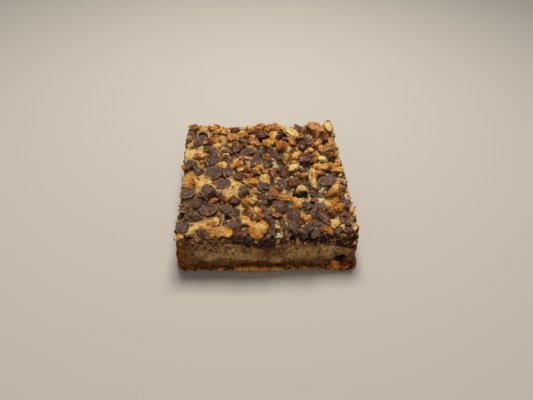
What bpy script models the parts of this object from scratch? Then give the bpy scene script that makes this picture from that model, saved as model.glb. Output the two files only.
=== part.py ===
"""A square-cut magic bar: a crumb base, a coconut and condensed milk filling, a band of
melted chocolate, and a baked milk crust heaped with chocolate chips and chopped nuts.

Metres, +Z up, the front cut towards -Y. The bar rests on Z = 0 with its middle at the origin.
"""

import math
import random
from typing import NamedTuple

import bmesh
import bpy
from mathutils import Matrix, Vector, noise

MM = 0.001

# Driving dimensions of the cut square, in millimetres.
BASE_HALF_WIDTH = 41.4
BASE_HALF_DEPTH = 42.5
TOP_HALF_DEPTH = 42.0
FRONT_TAPER = 0.070  # how much the half width loses for each millimetre of height, at the front
BACK_TAPER = -0.015  # the same at the back, where the top leans out a little
SKEW = 1.0  # how far the back stands to the left of the front
CORNER_POWER = 30  # the squareness of the outline: higher is sharper

# Along the right of the front the crust broke off, so the cut slopes back above the filling.
BROKEN_FROM = 2.0
BROKEN_TO = 44.0
BROKEN_FOOT = 14.0  # the height where the slope starts
BROKEN_BACK = 3.4  # how far back it goes at the crust

# Mean heights of the faces between the layers.
BASE_TOP = 3.0
FILLING_TOP = 16.0
CHOCOLATE_TOP = 18.8
CRUST_TOP = 21.2
GAP = 0.3  # kept between one layer and the next

THINNEST_CRUST = 0.9  # left under a pit

# The net of points that each layer is made on.
CELLS = 24  # along each side
RIM_POINTS = 4 * CELLS

# The lump of base that sticks out at the front right corner, and the hollow above it.
LUMP_X = 34.5
LUMP_REACH = 6.5
LUMP_OUT = 2.2
LIP_OUT = 0.7  # the base's front lip, left of the lump
LIP_REACH = 34.0
HOLLOW_X = 36.0
HOLLOW_REACH = 3.2
HOLLOW_DEEP = 2.4
# The caramelised bulge low on the left cut, near the front.
BULGE_Y = -33.0
BULGE_REACH = 9.0
BULGE_OUT = 1.2

SEED = 41


class Bit(NamedTuple):
    """A chip or a nut on the crust: its middle and its size in millimetres, and its turn in degrees."""

    kind: str
    x: float
    y: float
    length: float
    width: float
    heading: float
    tilt: float


class Patch(NamedTuple):
    """A round stretch of the crust, in millimetres. A bare patch is raised and a pit is sunk."""

    x: float
    y: float
    reach: float
    rise: float


# Where the top of the filling swells or sinks under the chocolate, as the front cut shows.
FILLING_SWELLS = (
    Patch(-22.0, -42.0, 11.0, 2.1),
    Patch(-4.0, -42.0, 6.5, -1.9),
    Patch(9.0, -42.0, 6.0, 0.9),
    Patch(38.0, -42.0, 7.0, -3.4),
    Patch(42.0, 6.0, 10.0, 1.0),
    Patch(-42.0, 18.0, 12.0, -1.2),
    Patch(-12.0, 42.0, 9.0, -1.3),
    Patch(22.0, 42.0, 8.0, 1.2),
)
# Bare, well browned stretches of crust, where nothing was strewn.
BARE_PATCHES = (
    Patch(-16.0, -9.5, 5.5, 0.9),
    Patch(-31.0, -6.0, 4.5, 1.0),
    Patch(-28.5, -35.0, 5.0, 1.0),
    Patch(-38.0, 17.0, 4.5, 1.3),
    Patch(-38.0, -3.5, 4.0, 1.5),
    Patch(-34.0, 38.5, 4.0, 1.6),
    Patch(39.0, 41.0, 4.5, 2.0),
)
# Burst bubbles and gaps that go down into the chocolate.
PITS = (
    Patch(17.0, -15.5, 2.6, -3.0),
    Patch(-1.0, 30.0, 2.4, -3.2),
    Patch(-5.0, 21.0, 2.0, -2.6),
    Patch(5.0, 14.0, 2.2, -2.4),
    Patch(-35.0, -41.0, 2.4, -3.4),
    Patch(-18.5, -29.5, 1.6, -2.0),
)

# The chips that catch the eye: x, y, breadth, heading, tilt. A tilt of 180 shows the flat foot.
LARGE_CHIPS = (
    (-38.5, 34.0, 6.6, 200, 30),
    (-34.5, 28.5, 7.4, 20, 130),
    (-30.5, 20.5, 6.8, 180, 40),
    (-27.5, 12.0, 8.0, 0, 170),
    (-37.5, 7.0, 7.2, 220, 20),
    (-32.5, 2.5, 6.2, 150, 60),
    (-26.0, 0.8, 8.2, 270, 165),
    (-10.5, 18.0, 8.2, 90, 160),
    (-5.0, 10.0, 6.6, 300, 150),
    (0.5, 18.5, 7.2, 200, 50),
    (22.0, 38.5, 6.6, 90, 30),
    (6.5, 24.0, 6.6, 80, 95),
    (30.5, -2.5, 8.2, 30, 20),
    (-20.5, -7.0, 7.0, 270, 35),
    (-12.8, -2.2, 6.6, 260, 120),
    (-27.0, -12.5, 7.8, 90, 40),
    (-10.0, -13.0, 7.0, 180, 65),
    (-4.0, -8.5, 6.4, 40, 25),
    (-4.5, -15.5, 7.0, 150, 150),
    (-32.0, -20.5, 7.4, 90, 20),
    (-26.5, -25.0, 7.8, 200, 25),
    (-19.0, -24.0, 6.6, 140, 75),
    (-33.0, -29.0, 7.6, 60, 30),
    (-15.0, -33.0, 7.0, 320, 160),
    (6.5, -22.0, 8.0, 100, 170),
    (11.3, -28.0, 8.4, 70, 140),
    (17.8, -22.0, 7.2, 300, 80),
    (7.5, -37.0, 6.6, 90, 110),
    (2.0, -32.0, 6.8, 80, 120),
    (13.5, -35.5, 6.4, 0, 60),
    (20.0, -34.0, 7.4, 25, 95),
    (34.0, -31.0, 6.0, 100, 50),
    (-38.0, -32.5, 6.8, 90, 30),
)

# The nuts that catch the eye: x, y, length, width, heading. Pecans are smooth and walnuts craggy.
LARGE_WALNUTS = (
    (-40.8, 5.5, 4.6, 4.4, 70),
    (-41.0, 31.0, 4.4, 4.0, 90),
    (-25.5, 22.0, 7.0, 5.2, 80),
    (-12.5, 33.5, 10.0, 6.0, 48),
    (-7.5, 38.0, 6.2, 5.2, 90),
    (-26.0, 39.0, 7.2, 5.6, 70),
    (-6.0, 26.0, 8.2, 6.6, 80),
    (-21.0, 7.5, 6.6, 5.4, 20),
    (-14.5, 8.0, 7.0, 5.6, 165),
    (-20.0, 15.5, 6.6, 4.2, 125),
    (2.5, 26.0, 8.2, 4.8, 85),
    (10.0, 23.5, 9.0, 6.0, 80),
    (17.5, 34.5, 9.6, 6.8, 110),
    (11.0, 11.5, 6.4, 5.2, 90),
    (26.5, 14.0, 8.2, 4.4, 100),
    (31.0, 12.0, 7.8, 5.0, 135),
    (32.0, 20.5, 8.2, 6.4, 90),
    (36.5, 15.0, 6.4, 5.0, 20),
    (34.0, 5.5, 8.4, 6.0, 15),
    (14.5, 5.0, 8.2, 7.0, 0),
    (25.0, -3.0, 14.5, 4.6, 88),
    (28.5, 38.5, 8.2, 6.0, 20),
    (37.5, 29.5, 9.4, 4.4, 88),
    (14.5, -5.0, 8.8, 6.6, 12),
    (4.8, -10.8, 7.0, 6.0, 60),
    (7.0, -15.5, 9.0, 4.6, 160),
    (31.5, -12.0, 9.2, 5.6, 32),
    (36.5, -8.0, 8.2, 4.6, 105),
    (33.5, -23.5, 7.8, 5.6, 100),
    (28.5, -20.0, 6.4, 4.0, 160),
    (30.0, -34.5, 6.4, 5.4, 80),
    (17.0, -30.0, 7.4, 4.2, 165),
    (-9.5, -21.0, 7.0, 5.0, 90),
    (-5.0, -27.5, 8.4, 4.6, 115),
    (-11.0, -31.5, 8.8, 4.4, 120),
    (-23.5, -31.5, 6.8, 5.2, 150),
    (-20.0, -38.0, 7.8, 6.4, 0),
    (-5.5, -36.5, 9.4, 7.6, 45),
    (-8.0, -6.5, 7.2, 5.2, 150),
)
LARGE_PECANS = (
    (-16.0, 38.5, 6.6, 5.6, 10),
    (-15.0, 21.0, 10.4, 5.2, 60),
    (-2.0, 34.5, 7.4, 6.0, 10),
    (7.0, 32.5, 9.2, 6.6, 80),
    (16.0, 18.5, 8.2, 4.8, 95),
    (21.0, 24.5, 10.4, 4.8, 90),
    (18.5, 11.5, 8.2, 4.6, 40),
    (33.5, 34.0, 6.6, 4.2, 60),
    (3.5, 1.5, 7.8, 4.4, 105),
    (9.0, 0.5, 11.6, 5.8, 98),
    (26.0, -29.5, 12.0, 5.2, 97),
    (-16.0, -18.5, 7.0, 5.2, 145),
    (-13.0, -38.0, 6.8, 6.2, 100),
    (-21.5, -17.0, 6.4, 5.2, 10),
)

# What is strewn between them by rule.
STREWN = 76
TRIES = 6000
STREWN_BREADTH = (3.2, 5.4)
EDGE_MARGIN = 2.2
CHIP_SHARE_LEFT = 0.62  # of the strewn bits at the left edge that are chips
CHIP_SHARE_RIGHT = 0.26  # the same at the right edge
CLOSENESS = 0.76  # how close two bits lie, as a share of their summed half breadths

LARGE_CHIP = 6.0  # chips broader than this have more sides
LARGE_CHIP_SIDES = 7
SMALL_CHIP_SIDES = 6
# A chip's half outline in breadths: distance from its axis, and height above its foot.
CHIP_OUTLINE = ((0.43, 0.0), (0.50, 0.14), (0.33, 0.45))
CHIP_TIP = 0.74


def lerp(a, b, share):
    return a + (b - a) * share


def ripple(x, y, z, per_mm, offset):
    """Smooth noise of about -1 to 1 at a point in millimetres."""
    return noise.noise(Vector((x, y, z)) * per_mm + Vector((offset, -offset, 2.0 * offset)))


def bell(distance, reach):
    return math.exp(-((distance / reach) ** 2))


def outline_point(u, v, height):
    """The plan position, in millimetres, of a point of the unit square at that height."""
    smaller, larger = sorted((abs(u), abs(v)))
    lean = smaller / larger if larger else 0.0
    corner = (1 + lean**CORNER_POWER) ** (-1 / CORNER_POWER)
    back = (v + 1) / 2
    half_width = BASE_HALF_WIDTH - lerp(FRONT_TAPER, BACK_TAPER, back) * height
    half_depth = lerp(BASE_HALF_DEPTH, TOP_HALF_DEPTH, height / CRUST_TOP)
    if v < 0:
        half_depth -= broken_back(u * half_width, height) * v * v
    return u * corner * half_width - SKEW * back * height / CRUST_TOP, v * corner * half_depth


def ease(value):
    """Goes smoothly from 0 to 1 as the value does."""
    value = min(max(value, 0.0), 1.0)
    return value * value * (3 - 2 * value)


def broken_back(x, height):
    """How far the broken part of the front stands back at that height."""
    along = ease((x - BROKEN_FROM) / 8) * ease((BROKEN_TO - x) / 8)
    return BROKEN_BACK * along * ease((height - BROKEN_FOOT) / (CRUST_TOP - BROKEN_FOOT))


def rim_square():
    """The unit square's rim, anticlockwise from the front left corner: (u, v) for each point."""
    steps = [-1 + 2 * k / CELLS for k in range(CELLS)]
    front = [(t, -1.0) for t in steps]
    right = [(1.0, t) for t in steps]
    back = [(-t, 1.0) for t in steps]
    left = [(-1.0, -t) for t in steps]
    return front + right + back + left


def face_height(mean, x, y):
    """The height of a face between two layers. The faces sag in the middle and wander a little."""
    if mean == 0:
        return 0.0
    height = mean + 0.6 * mean / CRUST_TOP * ripple(x, y, 0, 0.055, 3.0 + mean)
    if mean == FILLING_TOP:
        height += sum(p.rise * bell(math.hypot(x - p.x, y - p.y), p.reach) for p in FILLING_SWELLS)
    return height


def fan_height(mean, x, y):
    """The height inside the bar of the fan that closes a layer at that face."""
    share = max(abs(x) / BASE_HALF_WIDTH, abs(y) / BASE_HALF_DEPTH)
    if share == 0:
        return face_height(mean, 0, 0)
    return lerp(face_height(mean, 0, 0), face_height(mean, x / share, y / share), share)


def cut_relief(x, y, z, swell, crag):
    """How far the cut stands out at that point: slow swells and the crags between crumbs."""
    slow = swell * ripple(x, y, z, 0.09, 7.0)
    return slow + crag * ripple(x, y, z, 0.33, 11.0)


def front_lip(x, y):
    if y > -0.9 * BASE_HALF_DEPTH:
        return 0.0
    return LIP_OUT * bell(x - 4, LIP_REACH) + LUMP_OUT * bell(x - LUMP_X, LUMP_REACH)


def front_hollow(x, y):
    return -HOLLOW_DEEP * bell(x - HOLLOW_X, HOLLOW_REACH) if y < -0.9 * BASE_HALF_DEPTH else 0.0


def syrup_bulge(x, y):
    return BULGE_OUT * bell(y - BULGE_Y, BULGE_REACH) if x < -0.9 * BASE_HALF_WIDTH else 0.0


def rim_at(mean, height_of):
    """The ring of points where a face between layers meets the cut."""
    ring = []
    for u, v in rim_square():
        x, y = outline_point(u, v, mean)
        z = height_of(x, y)
        ring.append(pushed_out(u, v, z, cut_relief(x, y, z, 0.7, 0.35)))
    return ring


def pushed_out(u, v, z, distance):
    """A rim point at that height, moved outwards from the cut by the distance."""
    x, y = outline_point(u, v, z)
    outward = Vector((abs(u) ** 12 * math.copysign(1, u), abs(v) ** 12 * math.copysign(1, v)))
    outward.normalize()
    return Vector((x + outward.x * distance, y + outward.y * distance, z))


class Row(NamedTuple):
    """A row of points round the cut: its share of the layer's height and how its relief runs."""

    share: float
    out: float
    swell: float
    crag: float


def side_rings(lower, upper, rows, extra=lambda x, y, share: 0.0):
    """The rings of points between a layer's lower rim and its upper rim, both included."""
    rings = [lower]
    for row in rows:
        ring = []
        for (u, v), low, high in zip(rim_square(), lower, upper):
            z = lerp(low.z, high.z, row.share)
            relief = cut_relief(low.x, low.y, z, row.swell, row.crag)
            ring.append(pushed_out(u, v, z, row.out + relief + extra(low.x, low.y, row.share)))
        rings.append(ring)
    rings.append(upper)
    return rings


def add_ring(bm, ring):
    return [bm.verts.new(point * MM) for point in ring]


def add_wall(bm, rings):
    """Makes the rings and the quads between them, and returns the rings' vertices."""
    made = [add_ring(bm, ring) for ring in rings]
    for low, high in zip(made, made[1:]):
        for k in range(RIM_POINTS):
            after = (k + 1) % RIM_POINTS
            bm.faces.new((low[k], low[after], high[after], high[k]))
    return made


def add_fan(bm, ring, middle_height, upwards):
    """Closes a ring with a fan of triangles from the bar's axis, so that faces which meet match."""
    middle = bm.verts.new(Vector((0, 0, middle_height)) * MM)
    for k in range(RIM_POINTS):
        after = (k + 1) % RIM_POINTS
        corners = (ring[k], ring[after], middle)
        bm.faces.new(corners if upwards else corners[::-1])


def raised(ring, rise):
    return [point + Vector((0, 0, rise)) for point in ring]


def finished_object(name, bm, colour, roughness):
    """Turns the mesh into a named object with its own material."""
    mesh = bpy.data.meshes.new(name)
    bmesh.ops.triangulate(bm, faces=bm.faces)
    bmesh.ops.recalc_face_normals(bm, faces=bm.faces)
    bm.to_mesh(mesh)
    bm.free()
    mesh.materials.append(food_material(name, colour, roughness))
    obj = bpy.data.objects.new(name, mesh)
    bpy.context.scene.collection.objects.link(obj)
    return obj


def food_material(name, colour, roughness):
    material = bpy.data.materials.new(name)
    material.use_nodes = True
    shader = material.node_tree.nodes["Principled BSDF"]
    shader.inputs["Base Color"].default_value = (*colour, 1)
    shader.inputs["Roughness"].default_value = roughness
    shader.inputs["Metallic"].default_value = 0
    return material


def make_layer(name, means, rows, colour, roughness, extra=lambda x, y, share: 0.0):
    """A slab of the bar between two faces, with the cut round it."""
    low_mean, high_mean = means
    rise = GAP if low_mean > 0 else 0.0
    lower = raised(rim_at(low_mean, lambda x, y: face_height(low_mean, x, y)), rise)
    upper = rim_at(high_mean, lambda x, y: face_height(high_mean, x, y))
    bm = bmesh.new()
    rings = add_wall(bm, side_rings(lower, upper, rows, extra))
    add_fan(bm, rings[0], face_height(low_mean, 0, 0) + rise, upwards=False)
    add_fan(bm, rings[-1], face_height(high_mean, 0, 0), upwards=True)
    return finished_object(name, bm, colour, roughness)


def make_crumb_base():
    """The pressed crumb base, which stands out a little from the cut above it."""
    rows = (
        Row(0.22, 0.35, 0.6, 0.6),
        Row(0.75, 0.25, 0.6, 0.7),
    )
    return make_layer(
        "crumb_base",
        (0, BASE_TOP),
        rows,
        (0.42, 0.21, 0.075),
        0.85,
        extra=lambda x, y, share: front_lip(x, y),
    )


def make_coconut_filling():
    """The pale, chewy layer of coconut and condensed milk."""
    rows = (
        Row(0.10, 0.1, 0.7, 0.5),
        Row(0.40, 0.0, 1.0, 0.5),
        Row(0.85, -0.1, 0.9, 0.6),
    )
    return make_layer(
        "coconut_filling",
        (BASE_TOP, FILLING_TOP),
        rows,
        (0.40, 0.25, 0.12),
        0.6,
        extra=lambda x, y, share: front_hollow(x, y) * bell(share - 0.1, 0.2)
        + syrup_bulge(x, y) * bell(share - 0.4, 0.4),
    )


def make_chocolate_band():
    """The dark, craggy band of melted chips just under the crust."""
    rows = (
        Row(0.22, 0.1, 0.8, 1.5),
        Row(0.75, 0.1, 0.8, 1.7),
    )
    return make_layer(
        "chocolate_band", (FILLING_TOP, CHOCOLATE_TOP), rows, (0.045, 0.024, 0.016), 0.6
    )


def crust_height(x, y):
    """The height of the baked crust between its chips and nuts."""
    z = CRUST_TOP + 0.6 * ripple(x, y, 0, 0.06, 19.0) + 0.5 * ripple(x, y, 0, 0.17, 23.0)
    z += 0.5 * (y / TOP_HALF_DEPTH) ** 2 if y > 0 else 0.0
    for patch in BARE_PATCHES + PITS:
        z += patch.rise * bell(math.hypot(x - patch.x, y - patch.y), patch.reach)
    edge = min(BASE_HALF_WIDTH - 1.2 - abs(x), TOP_HALF_DEPTH + min(y, 0.0))
    z -= 0.6 * bell(max(edge, 0.0), 1.8)
    return max(z, fan_height(CHOCOLATE_TOP, x, y) + GAP + THINNEST_CRUST)


def make_crust_core():
    """The crust without its bits: a netted top, a craggy cut and a fan that meets the chocolate."""
    bm = bmesh.new()
    net = {}
    for i in range(CELLS + 1):
        for j in range(CELLS + 1):
            u, v = -1 + 2 * i / CELLS, -1 + 2 * j / CELLS
            x, y = outline_point(u, v, CRUST_TOP)
            z = crust_height(x, y)
            if max(abs(u), abs(v)) == 1:
                point = pushed_out(u, v, z, cut_relief(x, y, z, 0.6, 0.7))
            else:
                point = Vector((x, y, z))
            net[i, j] = bm.verts.new(point * MM)
    for i in range(CELLS):
        for j in range(CELLS):
            bm.faces.new((net[i, j], net[i + 1, j], net[i + 1, j + 1], net[i, j + 1]))
    edge = [net[round((u + 1) * CELLS / 2), round((v + 1) * CELLS / 2)] for u, v in rim_square()]
    upper = [vertex.co / MM for vertex in edge]
    lower = raised(rim_at(CHOCOLATE_TOP, lambda x, y: face_height(CHOCOLATE_TOP, x, y)), GAP)
    rows = (Row(0.15, 0.0, 0.7, 1.0), Row(0.60, 0.1, 0.7, 1.3))
    rings = add_wall(bm, side_rings(lower, upper, rows))
    for made, kept in zip(rings[-1], edge):
        bmesh.ops.weld_verts(bm, targetmap={made: kept})
    add_fan(bm, rings[0], face_height(CHOCOLATE_TOP, 0, 0) + GAP, upwards=False)
    return finished_object("topping", bm, (0.50, 0.29, 0.10), 0.5)


def large_bits():
    """The chips and nuts that were placed by eye."""
    bits = [Bit("chip", x, y, size, size, heading, tilt) for x, y, size, heading, tilt in LARGE_CHIPS]
    bits += [Bit("walnut", *values, 0) for values in LARGE_WALNUTS]
    bits += [Bit("pecan", *values, 0) for values in LARGE_PECANS]
    return bits


def clear_of(bits, x, y, breadth):
    """Whether a new bit of that breadth would lie clear of the others and of the bare patches."""
    if any(math.hypot(x - p.x, y - p.y) < p.reach for p in BARE_PATCHES):
        return False
    if any(math.hypot(x - p.x, y - p.y) < 0.9 * p.reach for p in PITS):
        return False
    return all(
        math.hypot(x - b.x, y - b.y) > CLOSENESS * (breadth + math.sqrt(b.length * b.width)) / 2
        for b in bits
    )


def strewn_bits(bits):
    """Smaller chips and nuts in the gaps, more chips to the left and more nuts to the right."""
    draw = random.Random(SEED)
    found = []
    for _ in range(TRIES):
        if len(found) == STREWN:
            break
        x = draw.uniform(-1, 1) * (BASE_HALF_WIDTH - 1 - EDGE_MARGIN)
        y = draw.uniform(-1, 1) * (TOP_HALF_DEPTH - EDGE_MARGIN)
        breadth = draw.uniform(*STREWN_BREADTH)
        pick, stretch = draw.random(), draw.uniform(1.0, 1.7)
        heading, tilt = draw.uniform(0, 360), draw.choice((20, 60, 100, 160))
        if not clear_of(bits + found, x, y, breadth):
            continue
        chips = lerp(CHIP_SHARE_LEFT, CHIP_SHARE_RIGHT, (x / BASE_HALF_WIDTH + 1) / 2)
        if pick < chips:
            found.append(Bit("chip", x, y, breadth, breadth, heading, tilt))
        else:
            kind = "pecan" if pick > 0.85 else "walnut"
            found.append(Bit(kind, x, y, breadth * stretch, breadth, heading, 0))
    return found


def chip_mesh(breadth):
    """A chocolate chip: a flat foot, a round shoulder and a blunt tip, middled on its height."""
    bm = bmesh.new()
    sides = LARGE_CHIP_SIDES if breadth > LARGE_CHIP else SMALL_CHIP_SIDES
    rings = []
    for radius, height in CHIP_OUTLINE:
        turns = [2 * math.pi * k / sides for k in range(sides)]
        place = [(radius * math.cos(a), radius * math.sin(a), height - CHIP_TIP / 2) for a in turns]
        rings.append([bm.verts.new(Vector(p) * breadth * MM) for p in place])
    for low, high in zip(rings, rings[1:]):
        for k in range(sides):
            after = (k + 1) % sides
            bm.faces.new((low[k], low[after], high[after], high[k]))
    tip = bm.verts.new(Vector((0, 0, CHIP_TIP / 2)) * breadth * MM)
    for k in range(sides):
        bm.faces.new((rings[-1][k], rings[-1][(k + 1) % sides], tip))
    bm.faces.new(rings[0][::-1])
    return bm


def nut_mesh(bit, seed):
    """A chopped piece of nut: the hull of a few points drawn near an ellipsoid."""
    draw = random.Random(seed)
    corners = 13 if bit.length > 7 else 9
    jag = 0.10 if bit.kind == "pecan" else 0.24
    height = 0.62 if bit.kind == "pecan" else 0.80
    bm = bmesh.new()
    for k in range(corners):
        # A spiral from pole to pole spreads the corners evenly.
        z = 1 - 2 * (k + 0.5) / corners
        turn = k * math.pi * (3 - math.sqrt(5))
        ring = math.sqrt(1 - z * z)
        reach = 1 + draw.uniform(-jag, jag)
        place = Vector((ring * math.cos(turn), ring * math.sin(turn), z)) * reach
        place.x *= bit.length / 2
        place.y *= bit.width / 2
        place.z *= height * bit.width / 2
        bm.verts.new(place * MM)
    hull = bmesh.ops.convex_hull(bm, input=bm.verts)
    inner = [g for g in hull["geom_interior"] if isinstance(g, bmesh.types.BMVert)]
    bmesh.ops.delete(bm, geom=inner, context="VERTS")
    return bm


def bit_matrix(bit):
    """Where a bit lies: turned to its heading, tilted, and sunk by a part of its height."""
    lift = 0.08 * bit.width if bit.kind == "chip" else 0.14 * bit.width
    place = Vector((bit.x, bit.y, crust_height(bit.x, bit.y) + lift)) * MM
    turned = Matrix.Rotation(math.radians(bit.heading), 4, "Z")
    tilted = Matrix.Rotation(math.radians(bit.tilt), 4, "Y")
    return Matrix.Translation(place) @ turned @ tilted


def lift_clear(bm):
    """Raises a bit whose underside would reach the chocolate below the crust."""
    depths = [
        fan_height(CHOCOLATE_TOP, vertex.co.x / MM, vertex.co.y / MM) - vertex.co.z / MM
        for vertex in bm.verts
    ]
    rise = max(depths) + GAP + 0.3
    if rise > 0:
        bm.transform(Matrix.Translation((0, 0, rise * MM)))


def make_bits():
    """Every chip and nut as a closed mesh, in a collection ready to be joined to the crust."""
    collection = bpy.data.collections.new("bits")
    bpy.context.scene.collection.children.link(collection)
    placed = large_bits()
    placed += strewn_bits(placed)
    for number, bit in enumerate(placed):
        bm = chip_mesh(bit.width) if bit.kind == "chip" else nut_mesh(bit, SEED + number)
        bmesh.ops.triangulate(bm, faces=bm.faces)
        bmesh.ops.recalc_face_normals(bm, faces=bm.faces)
        bm.transform(bit_matrix(bit))
        lift_clear(bm)
        mesh = bpy.data.meshes.new(f"bit_{number}")
        bm.to_mesh(mesh)
        bm.free()
        collection.objects.link(bpy.data.objects.new(f"bit_{number}", mesh))
    return collection


def join_bits(core, collection):
    """Unites the core with the bits, and takes the bits away."""
    union = core.modifiers.new("bits", "BOOLEAN")
    union.operation = "UNION"
    union.operand_type = "COLLECTION"
    union.collection = collection
    union.solver = "MANIFOLD"
    bpy.context.view_layer.objects.active = core
    bpy.ops.object.modifier_apply(modifier=union.name)
    for obj in list(collection.objects):
        bpy.data.objects.remove(obj)
    bpy.data.collections.remove(collection)


def keep_largest_shell(obj):
    """Fills sealed hollows and drops scraps: both are shells that touch the main one nowhere."""
    bm = bmesh.new()
    bm.from_mesh(obj.data)
    unseen = set(bm.verts)
    shells = []
    while unseen:
        shell, reached = set(), [unseen.pop()]
        while reached:
            vertex = reached.pop()
            shell.add(vertex)
            joined = {edge.other_vert(vertex) for edge in vertex.link_edges} & unseen
            unseen -= joined
            reached += joined
        shells.append(shell)
    shells.sort(key=len)
    loose = [vertex for shell in shells[:-1] for vertex in shell]
    bmesh.ops.delete(bm, geom=loose, context="VERTS")
    bm.to_mesh(obj.data)
    bm.free()


def main():
    for obj in list(bpy.data.objects):
        bpy.data.objects.remove(obj)
    make_crumb_base()
    make_coconut_filling()
    make_chocolate_band()
    topping = make_crust_core()
    join_bits(topping, make_bits())
    keep_largest_shell(topping)


main()
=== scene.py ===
"""The looks of a square-cut magic bar: layers, baked milk crust, chocolate chips and chopped nuts.

Sizes inside the classes are in millimetres, and meshes are written in metres. +Z is up and the
front cut faces -Y.
"""

import logging
import math
import random
from dataclasses import dataclass
from enum import Enum
from typing import Callable, Sequence

import bpy
import numpy as np
from mathutils import Matrix, Vector, noise

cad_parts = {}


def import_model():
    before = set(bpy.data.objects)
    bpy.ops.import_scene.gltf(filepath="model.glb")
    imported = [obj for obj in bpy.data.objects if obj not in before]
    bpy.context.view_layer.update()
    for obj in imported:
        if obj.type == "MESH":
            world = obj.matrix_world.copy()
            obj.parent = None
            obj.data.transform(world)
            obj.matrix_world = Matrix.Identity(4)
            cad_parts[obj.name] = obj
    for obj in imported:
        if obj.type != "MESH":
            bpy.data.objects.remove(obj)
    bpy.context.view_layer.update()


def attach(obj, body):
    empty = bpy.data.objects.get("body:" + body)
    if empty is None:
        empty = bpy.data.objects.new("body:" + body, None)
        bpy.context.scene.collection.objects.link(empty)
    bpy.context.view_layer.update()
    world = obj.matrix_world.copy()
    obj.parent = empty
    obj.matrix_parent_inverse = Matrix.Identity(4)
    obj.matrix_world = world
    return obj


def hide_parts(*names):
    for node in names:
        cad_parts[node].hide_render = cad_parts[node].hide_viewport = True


MM = 0.001
BODY = "root"
# The box that the bar fills, in millimetres.
REACH = ((-43.1, -45.4, 0.0), (42.45, 43.35, 26.55))
# Vec3 is a place, a direction or a scale, and Colour what the shader takes.
Vec3 = tuple[float, float, float]
Colour = Vec3
Array = np.ndarray
Measures = dict[str, np.ndarray]
Object = bpy.types.Object
Material = bpy.types.Material
Socket = bpy.types.NodeSocket

log = logging.getLogger("magic_bar")


def ease(value: Array | float) -> Array | float:
    """Goes smoothly from 0 to 1 as the value does."""
    value = np.clip(value, 0.0, 1.0)
    return value * value * (3 - 2 * value)


def between(value: Array, low: float, high: float) -> Array:
    """Eases from 0 at low to 1 at high."""
    return ease((value - low) / (high - low))


def bell(distance: Array | float, reach: float) -> Array | float:
    """A smooth bump of height 1 at no distance."""
    return np.exp(-((distance / reach) ** 2))


def shifted(points: Array, per_mm: float, offset: float) -> list[Vec3]:
    """Where noise of that many waves a millimetre is read. The offset picks the pattern."""
    return (points * per_mm + np.array((offset, -offset, 2.0 * offset))).tolist()


def ripples(points: Array, per_mm: float, offset: float) -> Array:
    """Smooth noise of about -1 to 1."""
    return np.array([noise.noise(p) for p in shifted(points, per_mm, offset)])


def patchy(points: Array, per_mm: float, offset: float, low: float, high: float) -> Array:
    """Smooth patches: 0 where the noise is under low, and 1 where it is over high."""
    return between(ripples(points, per_mm, offset), low, high)


def crags(points: Array, per_mm: float, offset: float, octaves: int = 4) -> Array:
    """Broken, sharp noise of about 0 to 1, as of torn crumb."""
    return np.array([noise.turbulence(p, octaves, True) for p in shifted(points, per_mm, offset)])


def grains(points: Array, per_mm: float, offset: float) -> Array:
    """Rounded grains: 1 at the middle of each and 0 between them."""
    nearest = np.array([noise.voronoi(p)[0][:2] for p in shifted(points, per_mm, offset)])
    return np.clip((nearest[:, 1] - nearest[:, 0]) * 1.6, 0, 1)


def columns(*values: Array) -> Array:
    """Puts arrays side by side as points."""
    return np.stack(np.broadcast_arrays(*values), axis=-1).astype(float)


def cut_swell(points: Array, fine: Array | float) -> Array:
    """How far every cut swells outwards: slow waves, and shorter ones of the height `fine`."""
    return 0.7 * ripples(points, 0.09, 7.0) + fine * ripples(points, 0.33, 11.0)


@dataclass(frozen=True)
class Patch:
    """A round stretch in plan, raised or sunk."""

    x: float
    y: float
    reach: float
    rise: float
    ragged: float = 0.0

    def over(self, x: Array, y: Array) -> Array:
        """The share of the patch that is felt at each place."""
        turn = np.arctan2(y - self.y, x - self.x)
        torn = 1 + self.ragged * (np.sin(3 * turn + 7 * self.x) + 0.6 * np.sin(7 * turn + self.y))
        return bell(np.hypot(x - self.x, y - self.y) * torn, self.reach)


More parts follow.
